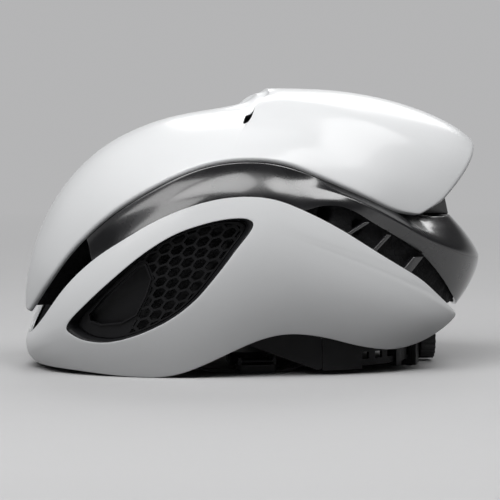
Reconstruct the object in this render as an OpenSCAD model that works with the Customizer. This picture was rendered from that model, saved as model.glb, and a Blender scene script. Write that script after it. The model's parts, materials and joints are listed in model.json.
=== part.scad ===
// Aero road bike helmet: two white shells and a black band over a foam liner, with honeycomb side vents,
// a dial-tightened fit cradle and a webbing harness. +Z is up, the front faces -X, and the origin is on the
// surface it rests on, under the middle of its length.

/* [Outside] */
// Length from nose to tail
length = 292; // [284:1:302]
// Width across the lower shell
width = 200; // [196:1:208]
// Height of the crown above the surface it rests on
height = 175; // [171:1:180]
// Thickness of the moulded outer shells
shell_wall = 2.2; // [1.8:0.1:2.6]
// Gap between a shell and the foam behind it
foam_gap = 0.5; // [0.4:0.05:0.7]

/* [Scoops] */
// Height of the raised rear part above the front surface
raise_h = 10.5; // [9:0.25:12]
// Half the width of the centre ramp between the inlets
ramp_half = 9; // [7:0.5:11]
// Distance of an inlet's outer end from the centre plane
inlet_end = 49; // [46:0.5:51]

/* [Head cavity] */
// Length of the cavity
cavity_l = 200; // [194:1:204]
// Width of the cavity
cavity_w = 154; // [150:1:158]
// Top of the cavity above the surface it rests on
cavity_top = 139; // [135:1:142]

/* [Side vents] */
// Depth of a honeycomb panel below the lower shell's surface
grille_depth = 8; // [7:0.25:9]
// Thickness of a honeycomb panel
grille_t = 2.2; // [1.6:0.1:2.8]
// Rib between two honeycomb cells
comb_rib = 1.3; // [1:0.1:1.8]

/* [Fit cradle] */
// Radius of the arc that the toothed bands slide on
band_r = 70.2; // [69.5:0.1:71]
// Thickness of a toothed band
band_t = 2; // [1.6:0.1:2.2]
// Height of the cradle housing
housing_h = 26; // [25:0.5:28]
// Radius of the fit dial
dial_r = 12; // [10.5:0.25:12.5]
// Depth of the dial's grip
dial_l = 9.5; // [7:0.5:11]
// Teeth on the dial's pinion
pinion_teeth = 12; // [12:1:12]
// Pitch radius of the pinion
pinion_r = 5; // [4.8:0.1:5.2]
// Width of the hanger strip
hanger_w = 22; // [18:1:26]
// Thickness of a temple arm
arm_t = 2; // [1.6:0.1:2.2]
// Radius of a temple pin
temple_pin_r = 2.5; // [2:0.1:3]
// How far the cradle swings up
tilt_range = 5; // [3:0.5:5.5]

/* [Pads and harness] */
// Thickness of a pad
pad_t = 5; // [3:0.5:6]
// Width of the webbing
strap_w = 15; // [12:0.5:16]
// Thickness of the webbing
strap_t = 1.2; // [1:0.1:1.4]
// Length of a divider
divider_l = 26; // [24:0.5:28]
// Width of a divider
divider_w = 19; // [18:0.5:20]
// Width of the buckle
buckle_w = 24; // [22:0.5:26]

/* [Hidden] */

hx = length / 2;
hy = width / 2;
zs = height / 175;

// Smooth value at u from knots [u, value] in rising u
function span(k, u, i = 0) = i >= len(k) - 2 || u < k[i + 1][0] ? i : span(k, u, i + 1);
function slope(k, i) =
    let (a = max(i - 1, 0), b = min(i + 1, len(k) - 1))
    (k[b][1] - k[a][1]) / (k[b][0] - k[a][0]);
function curve(k, u) =
    let (i = span(k, u), h = k[i + 1][0] - k[i][0], s = (u - k[i][0]) / h)
    (1 + 2 * s) * (1 - s) * (1 - s) * k[i][1] + s * (1 - s) * (1 - s) * h * slope(k, i)
    + s * s * (3 - 2 * s) * k[i + 1][1] + s * s * (s - 1) * h * slope(k, i + 1);
function straight(k, u) =
    let (i = span(k, u), s = (u - k[i][0]) / (k[i + 1][0] - k[i][0]))
    k[i][1] + s * (k[i + 1][1] - k[i][1]);
function step(a, b, u) =
    let (s = min(max((u - a) / (b - a), 0), 1)) s * s * (3 - 2 * s);
function mix(a, b, u) = a + (b - a) * u;

// A closed wall between an outer and an inner grid of points, both [row][column]. The outer grid's rows
// run so that row x column points outwards.
module wall(outer, inner) {
    r = len(outer);
    c = len(outer[0]);
    n = r * c;
    function q(a, b, d, e) = [[a, d, b], [a, e, d]];
    function at(i, j) = i * c + j;
    faces = [
        for (i = [0:r - 2]) for (j = [0:c - 2]) each concat(
            q(at(i, j), at(i, j + 1), at(i + 1, j + 1), at(i + 1, j)),
            q(n + at(i, j), n + at(i + 1, j), n + at(i + 1, j + 1), n + at(i, j + 1))),
        for (i = [0:r - 2]) each concat(
            q(at(i, 0), at(i + 1, 0), n + at(i + 1, 0), n + at(i, 0)),
            q(at(i + 1, c - 1), at(i, c - 1), n + at(i, c - 1), n + at(i + 1, c - 1))),
        for (j = [0:c - 2]) each concat(
            q(at(0, j + 1), at(0, j), n + at(0, j), n + at(0, j + 1)),
            q(at(r - 1, j), at(r - 1, j + 1), n + at(r - 1, j + 1), n + at(r - 1, j)))];
    polyhedron(concat([for (row = outer) each row], [for (row = inner) each row]), faces, 10);
}

// Plan of the belt round the head at angle th: 0 is the front, 90 the left side and 180 the rear
plan_e = 0.85;
function belt_raw(th) =
    [-hx * cos(th), -hy * sign(sin(th)) * pow(abs(sin(th)), plan_e)];
function belt_normal(th) =
    let (d = belt_raw(th + 0.5) - belt_raw(th - 0.5)) [d[1], -d[0]] / norm(d);
function belt(th, off, z) =
    let (p = belt_raw(th), n = belt_normal(th)) [p[0] - n[0] * off, p[1] - n[1] * off, z];
// The same angle on either side of the head, from 0 at the front to 180 at the rear
function fold(th) = th > 180 ? 360 - th : abs(th);

// Lower shell: heights of its two edges round the belt, and how far they tuck in
tip = 153;
low_edge = [[0, 5], [12, 3.5], [22, 3], [32, 2.5], [42, 1.2], [53, 0], [61, 0], [67, 2.5], [74, 9],
    [81, 17], [88, 24], [94, 27], [101, 26], [107, 23], [113, 19], [120, 16], [127, 15], [135, 18],
    [141, 22], [148, 28], [tip, 33]];
top_edge = [[0, 20], [7, 24], [15, 31], [21, 40], [27, 51], [35, 64], [42, 74], [51, 85], [59, 95],
    [68, 104], [77, 110], [85, 111.5], [92, 109], [100, 101], [108, 91], [118, 77], [126, 67], [134, 58],
    [142, 47], [tip, 35]];
tuck_low = [[0, 4], [12, 6], [30, 10], [50, 13], [62, 14], [80, 13], [100, 12], [130, 12], [tip, 7]];
tuck_top = [[0, 3], [20, 5], [40, 8], [60, 9], [90, 8], [120, 7], [tip, 5]];
bulge = [[0, 0], [20, 0], [50, 1], [75, 1.5], [100, 1], [tip, 2]];
function low_z(th) = zs * max(curve(low_edge, fold(th)), 0);
function top_z(th) = zs * curve(top_edge, fold(th));
function low_off(th, v) =
    let (t = fold(th))
    curve(bulge, t) + curve(tuck_low, t) * pow(1 - v, 2.4) + curve(tuck_top, t) * pow(v, 3);
function low_point(th, z, extra = 0) =
    let (a = low_z(th), b = top_z(th), v = min(max((z - a) / (b - a), 0), 1))
    belt(th, low_off(th, v) + extra, z);

// Side vent: a leaf on the left side, as angle and height on the belt, and the edge that each ray meets
leaf = [
    [0, [33.5, 24.5]], [1, [38, 21.5]], [2, [46, 21]], [3, [55, 26]], [4, [64, 35.5]], [5, [71, 48]],
    [6, [77, 65]], [7, [81.5, 80]], [8, [85.5, 93.5]], [9, [84.5, 98.5]], [10, [79.5, 98.5]], [11, [73, 95]],
    [12, [65.5, 88.5]], [13, [57, 76.5]], [14, [47, 59]], [15, [38.5, 44]], [16, [32.5, 33.5]],
    [17, [31, 28]], [18, [33.5, 24.5]]];
rim_angle = [[0, 0], [1, 25], [2, 44], [3, 57], [4, 70], [5, 83], [6, 101], [7, 126], [7.8, tip], [8.2, tip],
    [8.6, 131], [9, 112], [9.5, 96], [10, 86], [11, 76], [12, 67], [13, 55], [14, 40], [15, 22], [16, 0], [17, 0],
    [18, 0]];
rim_height = [[0, 0], [7.8, 0], [8.2, 1], [16, 1], [17, 0.5], [18, 0]];
leaf_mid = [58, 60];
function leaf_at(k) = [zs * 0 + curve(leaf, k)[0], zs * curve(leaf, k)[1]];
function rim_at(k) =
    let (th = straight(rim_angle, k), v = straight(rim_height, k)) [th, mix(low_z(th), top_z(th), v)];

// Rows of the lower shell from the vent's inner wall out to the edges: how far each lies towards the leaf's
// middle, how deep, how far out along its ray, and how its thickness turns from sideways to inwards
vent_wall = 9;
low_rows = [
    [0.055, vent_wall, 0, 0], [0.05, 3.2, 0, 0.15], [0.032, 0.9, 0, 0.6], [0, 0, 0, 1],
    [0, 0, 0.16, 1], [0, 0, 0.38, 1], [0, 0, 0.64, 1], [0, 0, 0.86, 1], [0, 0, 1, 1]];
function low_row(k, row, extra) =
    let (a = leaf_at(k), shrink = row[0] - (1 - row[3]) * extra / 45,
        s = mix(a, [leaf_mid[0], zs * leaf_mid[1]], shrink), p = mix(s, rim_at(k), row[2]))
    low_point(p[0], p[1], row[1] + row[3] * extra);
// Rays are closer together towards the tail
low_k = concat([for (i = [0:9]) i / 2], [for (i = [0:14]) 5 + i / 5], [for (i = [0:15]) 8 + i / 8],
    [for (i = [0:4]) 10 + i / 5], [for (i = [0:13]) 11 + i / 2]);
low_rays = len(low_k);
function low_grid(extra) = [for (row = low_rows) [for (k = low_k) low_row(k, row, extra)]];

// The left half as points and faces. The ray of index 0 and the last are one and the same.
module lower_shell() {
    r = len(low_rows);
    c = low_rays;
    half = r * c * 2;
    outer = low_grid(0);
    inner = low_grid(shell_wall);
    points = concat(
        [for (g = [outer, inner]) for (i = [0:r - 1]) for (j = [0:c - 1]) g[i][j]],
        [for (g = [outer, inner]) for (i = [0:r - 1]) for (j = [0:c - 1])
            [g[i][j][0], -g[i][j][1], g[i][j][2]]]);
    // Rays that end on the centre plane share their last points with the other half
    function centre(j) = j % c == 0 || low_k[j % c] >= 16;
    function at(side, g, i, j) =
        (side == 1 && i == r - 1 && centre(j) ? 0 : side * half) + g * r * c + i * c + j % c;
    function q(side, a, b, d, e) = side == 1 ? [[a, b, d], [a, d, e]] : [[a, d, b], [a, e, d]];
    faces = [for (s = [0, 1]) for (j = [0:c - 1]) each concat(
        [for (i = [0:r - 2]) each concat(
            q(s, at(s, 0, i, j), at(s, 0, i + 1, j), at(s, 0, i + 1, j + 1), at(s, 0, i, j + 1)),
            q(s, at(s, 1, i, j), at(s, 1, i, j + 1), at(s, 1, i + 1, j + 1), at(s, 1, i + 1, j)))],
        q(s, at(s, 0, 0, j), at(s, 0, 0, j + 1), at(s, 1, 0, j + 1), at(s, 1, 0, j)),
        centre(j) && centre(j + 1) ? [] :
            q(s, at(s, 0, r - 1, j + 1), at(s, 0, r - 1, j), at(s, 1, r - 1, j), at(s, 1, r - 1, j + 1)))];
    color("white") polyhedron(points, faces, 10);
}

// Mid shell: heights and offsets of its lower edge, its crease and its upper edge
band_start = 39;
mid_low = [[band_start, 68], [50, 80], [60, 91], [70, 101], [80, 106], [90, 105.5], [98, 101.5], [102, 105],
    [108, 105.5], [113, 101.5], [118, 94.5], [126, 85.5], [136, 73.5], [145, 60], [155, 47], [167, 39], [180, 36]];
mid_crease = [[band_start, 77], [50, 92], [60, 104], [75, 118], [90, 121], [102, 118], [112, 110], [126, 94],
    [135, 84], [148, 75], [160, 70], [180, 68]];
mid_top = [[34, 84], [36, 84.5], [48, 104.5], [60, 122.5], [70, 132.5], [78, 136.5], [90, 137], [100, 131],
    [112, 120], [120, 113], [126, 108], [135, 101], [142, 96.5], [155, 95], [180, 94]];
mid_low_off = [[34, 13], [98, 13], [107, 13], [126, 13], [145, 12], [160, 14], [180, 16]];
mid_crease_off = [[34, 17], [60, 17.5], [90, 17], [102, 16.5], [112, 14], [126, 9], [138, 5.5], [150, 3], [180, 0]];
mid_top_off = [[34, 25.5], [42, 28], [60, 30.5], [90, 32.2], [112, 33.4], [126, 32.7], [138, 29.5], [146, 25],
    [160, 20], [180, 19]];
// t runs from the lower edge, 0, by the crease, 1, to the upper edge, 2
function mid_z(th, t) =
    let (f = fold(th))
    zs * (t < 1 ? mix(curve(mid_low, f), curve(mid_crease, f), t)
        : mix(curve(mid_crease, f), curve(mid_top, f), t - 1));
function mid_off(th, t) =
    let (f = fold(th), b = 1 + 0.35 * step(100, 140, f))
    t < 1 ? mix(curve(mid_crease_off, f), curve(mid_low_off, f), pow(1 - t, b + 0.35))
        : mix(curve(mid_crease_off, f), curve(mid_top_off, f), pow(t - 1, b));
// The front end of the band leans: its upper edge starts further forward
function mid_angle(u, t) = mix(band_start - 3 * t, 180, u);
function mid_point(u, t, side, extra = 0) =
    let (th = mid_angle(u, t), a = side < 0 ? th : 360 - th) belt(a, mid_off(a, t) + extra, mid_z(a, t));
mid_steps = 30;
mid_rows = [0, 0.3, 0.65, 1, 1.3, 1.65, 2];
module mid_shell() {
    us = concat([for (i = [0:mid_steps]) [i / mid_steps, -1]], [for (i = [mid_steps - 1:-1:0]) [i / mid_steps, 1]]);
    color("#15171a") wall(
        [for (t = mid_rows) [for (u = us) mid_point(u[0], t, u[1])]],
        [for (t = mid_rows) [for (u = us) mid_point(u[0], t, u[1], shell_wall)]]);
}

// Upper shell: crown and near edge along s, from the nose, 0, to the tail, 1
inlet_s = 0.6;
crown = [[0, [-145, 0, 35]], [0.06, [-146, 0, 50]], [0.14, [-141, 0, 76]], [0.24, [-124, 0, 110]],
    [0.34, [-96, 0, 138]], [0.44, [-62, 0, 154.5]], [0.54, [-26, 0, 162]], [0.6, [2, 0, 164.5]],
    [0.7, [32, 0, 165]], [0.79, [62, 0, 163]], [0.88, [96, 0, 156.5]], [0.95, [126, 0, 147]], [1, [143, 0, 140]]];
edge = [[0, [-143, -8, 34.5]], [0.06, [-139.5, -17, 41.5]], [0.14, [-131, -32, 57]], [0.24, [-117, -44, 77.5]],
    [0.34, [-96, -57, 99]], [0.44, [-70, -67.5, 116.5]], [0.54, [-42, -74.5, 129.5]], [0.6, [-20, -77.5, 133.7]],
    [0.7, [8, -78, 132]], [0.79, [34, -76, 122]], [0.88, [62, -72.5, 109.5]], [0.95, [83, -66, 99.5]],
    [1, [98, -60.5, 93.5]]];
raise_at = [[0.6, 1], [0.7, 0.95], [0.79, 0.93], [0.88, 0.86], [0.95, 0.5], [1, 0]];
raise_w = [[0.6, 54], [0.7, 58], [0.79, 64], [0.88, 66], [1, 62]];
spread = 60;
// Share of the raise up the centre ramp over the distance along, and how the step runs across the shell, over
// the distance from the centre plane: the front skin's edge, and the raised part's lip
ramp_rise = [[-22, 0], [-9, 0.125], [-1, 0.42], [3, 0.8], [7, 1]];
skin_s = [[0, 0.6], [12, 0.6], [33, 0.583], [56, 0.583], [78, 0.583]];
lip_s = [[0, 0.62], [20, 0.622], [30, 0.617], [38, 0.604], [42, 0.6], [46, 0.597], [49, 0.593], [52, 0.588],
    [56, 0.587], [78, 0.587]];
function scaled(p) = [p[0] * hx / 146, p[1] * hy / 100, p[2] * zs];
function upper_base(s, t) =
    let (a = spread * abs(t), k = (1 - cos(a)) / (1 - cos(spread)), c = curve(crown, s), e = curve(edge, s))
    scaled([mix(c[0], e[0], pow(k, 1 + 0.7 * step(0.75, 1, s))), e[1] * -sign(t) * sin(a) / sin(spread),
        mix(c[2], e[2], k)]);
function ramp_share(x) = curve(ramp_rise, min(max(x, -22), 7));
// The raise behind the step, and in front of it, where only the centre ramp rises
function raise(s, p, after) =
    let (y = abs(p[1]), off = step(ramp_half, ramp_half + 6, y))
    after ? raise_h * curve(raise_at, max(s, inlet_s)) * (1 - step(0.68, 1, y / curve(raise_w, max(s, inlet_s))))
            * mix(ramp_share(p[0]), 1, off)
        : raise_h * ramp_share(p[0]) * (1 - off);
// Rows beside the step bend to follow it
function step_y(t) = hy * 0.775 * sin(spread * abs(t)) / sin(spread);
function bent(s, t) =
    s > inlet_s + 0.002 ? s - (0.61 - curve(lip_s, step_y(t))) * (1 - step(0.61, 0.72, s))
        : s - (inlet_s - curve(skin_s, step_y(t))) * step(0.45, inlet_s, s);
function upper_normal(s, t) =
    let (a = max(s - 0.01, 0), b = min(s + 0.01, 1),
        n = cross(upper_base(b, t) - upper_base(a, t), upper_base(s, t + 0.02) - upper_base(s, t - 0.02)))
    n / norm(n);
// The tail's two corners are rounded: both measures shrink where both are near their ends
function inset(a, b) = a * sqrt(1 - b * b / 2);
function upper_point(row, t, extra = 0) =
    let (u = max(row - 0.93, 0) / 0.07, v = max(abs(t) - 0.8, 0) / 0.2, r = row > 0.93 ? 0.93 + 0.07 * inset(u, v) : row,
        w = sign(t) * (abs(t) > 0.8 ? 0.8 + 0.2 * inset(v, u) : abs(t)),
        s = bent(r, w), p = upper_base(s, w), n = upper_normal(s, w), late = extra > 0 ? 0.01 : 0.002)
    p - n * extra + [0, 0, raise(s, p, row > inlet_s + late)];
upper_s = concat([for (i = [0:13]) 0.6 * i / 13], [0.61, 0.62, 0.64], [for (i = [1:7]) 0.64 + 0.04 * i],
    [0.95, 0.975, 1]);
upper_t = concat([-1, -0.965, -0.92, -0.86, -0.8], [for (i = [-9:9]) i / 12], [0.8, 0.86, 0.92, 0.965, 1]);

// Opening of one inlet, from the front skin's edge to behind the raised part's lip
inlet_start = 35;
inlet_steps = 4;
module inlet_slab(t, side) {
    skin = upper_base(bent(inlet_s, t), t);
    lip = upper_base(bent(0.61, t), t);
    h = max(raise(inlet_s, lip, true) - shell_wall - 0.8, 0.9);
    translate([skin[0] + 0.2, side * abs(skin[1]), skin[2] - 4]) cube([lip[0] - skin[0] + 8, 0.5, h + 4]);
}
module inlet_cut(side) {
    for (i = [0:inlet_steps - 1]) hull() for (k = [i, i + 1])
        inlet_slab(mix(t_at(inlet_start), t_at(inlet_end), k / inlet_steps), side);
}
// Where across the upper shell a distance from the centre plane lies, at the step
function t_at(y) = asin(y / (hy * 0.775) * sin(spread)) / spread;
module upper_shell() {
    color("white") difference() {
        wall([for (t = upper_t) [for (s = upper_s) upper_point(s, t)]],
            [for (t = upper_t) [for (s = upper_s) upper_point(s, t, shell_wall)]]);
        for (side = [-1, 1]) inlet_cut(side);
    }
}

// Head cavity: a superellipse in plan with a domed top
cavity_x = -12;
cavity_z = 45;
function into_cavity(p, grow = 0) =
    let (a = cavity_l / 2 + grow, b = cavity_w / 2 + grow, c = cavity_top - cavity_z + grow,
        d = p - [cavity_x, 0, min(p[2], cavity_z)],
        k = 1 / pow(pow(abs(d[0]) / a, 2.2) + pow(abs(d[1]) / b, 2.2) + pow(abs(d[2]) / c, 2.2), 1 / 2.2))
    [cavity_x, 0, min(p[2], cavity_z)] + d * min(k, 0.97);

// Lower foam: follows the lower shell's inside, then the mid shell's
foam_low = [[0, 8], [30, 5], [53, 2], [61, 2], [67, 4], [74, 10.5], [81, 18.5], [88, 25.5], [94, 28.5], [101, 27.5],
    [107, 24.5], [113, 20.5], [120, 18], [127, 18], [135, 21], [141, 25], [148, 31], [158, 38], [180, 40]];
foam_top = [[0, 17], [7, 21], [15, 28], [21, 37], [27, 48], [34, 60], [39, 80], [48, 101], [60, 120], [70, 130],
    [78, 134], [90, 134.5], [100, 128.5], [112, 117.5], [120, 110.5], [126, 105.5], [135, 98.5], [142, 94.5],
    [155, 92.5], [180, 91.5]];
function foam_off(th, z) =
    let (f = fold(th), a = mid_z(f, 0), b = mid_z(f, 1), c = mid_z(f, 2),
        t = z < b ? (z - a) / (b - a) : 1 + (z - b) / (c - b), v = (z - low_z(f)) / (top_z(f) - low_z(f)))
    shell_wall + foam_gap + 0.5
    + (f < band_start - 1 || (z < a - 13 && f < 104) ? low_off(f, min(max(v, 0), 1))
        : max(low_off(min(f, tip), min(max(v, 0), 1)), mid_off(f, max(t, 0)) + 1.4));
function foam_outer(th, q) =
    let (z = zs * mix(curve(foam_low, th), curve(foam_top, th), q)) belt(th, foam_off(th, z), z);
foam_th = [for (i = [0:27]) 180 * i / 27];
foam_q = [for (i = [0:8]) i / 8];
module lower_foam_half() {
    outer = [for (q = foam_q) [for (th = foam_th) foam_outer(th, q)]];
    wall(outer, [for (row = outer) [for (p = row) into_cavity(p)]]);
}
// The leaf's lower and upper side as heights over the angle
leaf_low = concat([[31, 28]], [for (i = [0:8]) leaf[i][1]]);
leaf_high = concat([[31, 28]], [for (i = [16:-1:9]) leaf[i][1]], [[85.5, 95.5]]);
pocket_depth = grille_depth + grille_t + 3;
module vent_pocket() {
    function row(v, depth) = [for (i = [0:9]) let (th = 29.5 + 58 * i / 9,
        a = zs * curve(leaf_low, min(max(th, 31), 85.5)) - 2.5, b = zs * curve(leaf_high, min(max(th, 31), 85.5)) + 2.5)
        low_point(th, mix(a, b, v), depth)];
    wall([for (v = [0, 0.5, 1]) row(v, -3)], [for (v = [0, 0.5, 1]) row(v, pocket_depth)]);
}
// A blind duct behind the panel's hole
module vent_duct(deep) {
    translate([panel_x, panel_y, 0]) rotate([0, 0, panel_turn]) rotate([90, 0, 0]) translate([0, 0, panel_r - deep])
        linear_extrude(deep + 2) offset(delta = 1) polygon(hole_edge);
}
// A round-ended air channel from one point to another, wide in z
module channel(a, b, r, h) {
    hull() for (p = [a, b]) for (k = [-1, 1]) translate(p + [0, 0, k * (h / 2 - r)]) sphere(r, $fn = 8);
}
// A foam rib that crosses the front vent from the brow up towards the upper foam
module front_rib(th, lean) {
    hull() for (p = [[th, top_z(th) - 5, 12], [th, top_z(th) - 5, 24], [th + lean, top_z(th) + 13, 20],
        [th + lean, top_z(th) + 13, 32]]) translate(belt(p[0], p[2], p[1])) sphere(2, $fn = 8);
}
module lower_foam_extras() {
    front_rib(17, 5);
    front_rib(28, 6);
}
module lower_foam_cuts() {
    vent_pocket();
    vent_duct(20);
    channel(belt(46, 12, zs * 46), belt(52, 50, zs * 52), 6, 22);
    for (th = [106, 116]) channel(belt(th, 10, mid_z(th, 0) - 7), belt(th - 4, 42, mid_z(th, 0) - 4), 5, 12);
}
module lower_foam() {
    color("#1d1e20") difference() {
        union() {
            lower_foam_half();
            mirror([0, 1, 0]) lower_foam_half();
            lower_foam_extras();
            mirror([0, 1, 0]) lower_foam_extras();
        }
        lower_foam_cuts();
        mirror([0, 1, 0]) lower_foam_cuts();
        cradle_recess();
        socket_pocket();
        for (side = [-1, 1]) anchor_pocket(side);
    }
}

// Upper foam: follows the upper shell's inside
foam_edge = 0.84;
foam_s = [for (i = [0:15]) 0.02 + 0.88 * i / 15];
function upper_inside(s, t) =
    let (p = upper_base(s, t))
    p - upper_normal(s, t) * (shell_wall + foam_gap + 0.4) + [0, 0, s < 0.7 ? 0 : raise(s, p, true) - 0.5];
module upper_foam_half() {
    outer = [for (i = [8:-1:0]) [for (s = foam_s) upper_inside(s, -foam_edge * i / 8)]];
    wall(outer, [for (row = outer) [for (p = row) into_cavity(p)]]);
}
module upper_foam_cuts() {
    channel([2, -28, zs * 168], [40, -25, zs * 134], 4, 9);
    channel([20, -22, zs * 150], [112, -24, zs * 142], 6, 16);
    channel([40, -50, zs * 118], [104, -44, zs * 122], 6, 15);
}
module upper_foam() {
    color("#1d1e20") difference() {
        union() {
            upper_foam_half();
            mirror([0, 1, 0]) upper_foam_half();
        }
        upper_foam_cuts();
        mirror([0, 1, 0]) upper_foam_cuts();
        channel([-30, 0, zs * 142], [112, 0, zs * 144], 6, 15);
        channel([-128, 0, zs * 62], [-70, 0, zs * 80], 5, 14);
    }
}

// Tail strut: a fin in the centre plane between the fairing and the hood
strut_t = 5;
module tail_strut() {
    top = [for (s = [0.9, 0.95, 0.975]) upper_point(s, 0, shell_wall + 0.6)];
    foot = [127, mid_z(180, 2) + 0.2];
    color("#101113") translate([0, strut_t / 2, 0]) rotate([90, 0, 0]) linear_extrude(strut_t)
        polygon(concat([[top[0][0], foot[1]], foot, [124, foot[1] + 14]], [for (i = [2:-1:0]) [top[i][0], top[i][2]]]));
}

// Honeycomb panels: each is bent about a vertical axis, and lies inside the leaf's rolled rim
panel_depth = grille_depth + grille_t / 2;
// Middle of the circle through three points, seen from above
function middle(a, b, c) =
    let (d = 2 * (a[0] * (b[1] - c[1]) + b[0] * (c[1] - a[1]) + c[0] * (a[1] - b[1])),
        p = a[0] * a[0] + a[1] * a[1], q = b[0] * b[0] + b[1] * b[1], r = c[0] * c[0] + c[1] * c[1])
    [p * (b[1] - c[1]) + q * (c[1] - a[1]) + r * (a[1] - b[1]), p * (c[0] - b[0]) + q * (a[0] - c[0])
        + r * (b[0] - a[0])] / d;
panel_ends = [for (q = [[33, 30], [58, 60], [84, 95]]) low_point(q[0], zs * q[1], panel_depth)];
panel_mid = middle(panel_ends[0], panel_ends[1], panel_ends[2]);
panel_x = panel_mid[0];
panel_y = panel_mid[1];
panel_r = norm([panel_ends[1][0] - panel_x, panel_ends[1][1] - panel_y]);
panel_turn = atan2(panel_ends[1][0] - panel_x, panel_y - panel_ends[1][1]);
// Point of the belt at the panel's depth, as distances along the panel and up
function on_panel(q) =
    let (p = low_point(q[0], q[1], panel_depth))
    [(p[0] - panel_x) * cos(panel_turn) + (p[1] - panel_y) * sin(panel_turn), p[2]];
function leaf_in(k, share) = on_panel(mix(leaf_at(k), [leaf_mid[0], zs * leaf_mid[1]], share));
hole = [[57, 69], [58.5, 61], [57, 51], [54, 39], [49, 33.5], [42, 32], [38, 34], [37.5, 37.5], [43, 48], [50, 60],
    [54.5, 67.5]];
comb_a = [7.3, -0.8];
comb_b = [8.3, 6];
module panel_prism(depth = 60) {
    translate([panel_x, panel_y, 0]) rotate([0, 0, panel_turn]) rotate([90, 0, 0])
        translate([0, 0, panel_r - depth / 2]) linear_extrude(depth) children();
}
module comb_cells() {
    n = [comb_a, comb_b, comb_b - comb_a, -comb_a, -comb_b, comb_a - comb_b];
    cell = 1 - comb_rib / 6.6;
    for (i = [-16:8]) for (j = [-6:18]) {
        at = on_panel([58, zs * 60]) + i * comb_a + j * comb_b;
        if (abs(at[0] - on_panel([58, 60])[0]) < 62 && at[1] > 18 * zs && at[1] < 102 * zs)
            translate(at) polygon([for (k = [0:5]) cell * (n[k] + n[(k + 1) % 6]) / 3]);
    }
}
// A part of the round wall that the panel is cut from, between two distances from the panel's middle face
module panel_wall(from, to) {
    translate([panel_x, panel_y, 0]) rotate([0, 0, panel_turn - 130]) rotate_extrude(angle = 80, $fn = 180)
        translate([panel_r + from, 0]) square([to - from, 120 * zs]);
}
lip_wide = 0.9;
lip_high = 1.4;
hole_edge = [for (q = hole) on_panel([q[0], zs * q[1]])];
module left_panel() {
    rim = [for (k = [0:0.5:17.5]) leaf_in(k, 0.075)];
    field = [for (k = [0:0.5:17.5]) leaf_in(k, 0.105)];
    difference() {
        union() {
            intersection() {
                difference() {
                    panel_prism() polygon(rim);
                    panel_prism(62) difference() {
                        intersection() {
                            polygon(field);
                            comb_cells();
                        }
                        // The plate round the hole and at the front end has no cells
                        hull() {
                            offset(delta = 2) polygon(hole_edge);
                            polygon([for (k = [0, 1, 2.5, 16.5]) leaf_in(k, 0)]);
                        }
                    }
                }
                panel_wall(-grille_t / 2, grille_t / 2);
            }
            intersection() {
                panel_prism() offset(delta = lip_wide) polygon(hole_edge);
                panel_wall(0.4 - grille_t / 2, grille_t / 2 + lip_high);
            }
        }
        panel_prism(62) polygon(hole_edge);
    }
}
module left_vent_grille() {
    color("#141415") left_panel();
}
module right_vent_grille() {
    color("#141415") mirror([0, 1, 0]) left_panel();
}

// Rear side vents: two fins and a bracket between the two shells' edges
module fin(th, lean, thick) {
    a = [th, top_z(th) - 4];
    b = [th + lean, mid_z(th + lean + thick / 4, 0) - 2];
    hull() for (p = [a, b]) for (k = [-1, 1]) for (off = [11, 15])
        translate(belt(p[0] + k * thick / 4, off, p[1])) cube(0.6, center = true);
}
module left_fins() {
    fin(109, 7, 2);
    fin(117, 6, 2);
    fin(128, 6, 7);
}
module left_vent_fins() {
    color("#202124") left_fins();
}
module right_vent_fins() {
    color("#202124") mirror([0, 1, 0]) left_fins();
}

// Pads: crowned strips a little off the cavity's wall. A spot is an angle round the head and a height.
function wall_spot(a, z, in) =
    let (h = max(z - cavity_z, 0) / (cavity_top - cavity_z - in),
        r = pow((1 - pow(h, 2.2)) / (pow(abs(cos(a)) / (cavity_l / 2 - in), 2.2)
            + pow(abs(sin(a)) / (cavity_w / 2 - in), 2.2)), 1 / 2.2))
    [cavity_x - r * cos(a), -r * sin(a), z];
function puff(u, v) = 1 + (pad_t - 1) * pow((1 - pow(abs(2 * u - 1), 4)) * (1 - pow(abs(2 * v - 1), 4)), 0.5);
pad_gap = 0.6;
module wall_pad(a0, a1, z0, z1, n) {
    us = [for (i = [0:n]) i / n];
    vs = [for (i = [0:6]) i / 6];
    function round_z(u, v) = mix(z0, z1, 0.5 + (v - 0.5) * (1 - 0.35 * pow(abs(2 * u - 1), 8)));
    wall([for (v = vs) [for (u = us) wall_spot(mix(a0, a1, u), round_z(u, v), pad_gap)]],
        [for (v = vs) [for (u = us) wall_spot(mix(a0, a1, u), round_z(u, v), pad_gap + puff(u, v))]]);
}
module brow_pad() {
    color("#2b2c2f") wall_pad(-36, 36, 6, 21, 20);
}
module left_side_pad() {
    color("#2b2c2f") wall_pad(58, 96, zs * 50, zs * 68, 12);
}
module right_side_pad() {
    color("#2b2c2f") mirror([0, 1, 0]) wall_pad(58, 96, zs * 50, zs * 68, 12);
}
crown_pad_x = [-68, 44];
crown_pad_w = 24;
module crown_pad() {
    function spot(u, v, in) =
        let (x = mix(crown_pad_x[0], crown_pad_x[1], u), y = (v - 0.5) * crown_pad_w * (1 - 0.4 * pow(abs(2 * u - 1), 8)))
        into_cavity([cavity_x + 3 * (x - cavity_x), 3 * y, cavity_z + 3 * 92], -in);
    us = [for (i = [0:16]) i / 16];
    vs = [for (i = [0:6]) i / 6];
    color("#2b2c2f") wall([for (v = vs) [for (u = us) spot(u, v, pad_gap)]],
        [for (v = vs) [for (u = us) spot(u, v, pad_gap + puff(u, v))]]);
}

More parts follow.
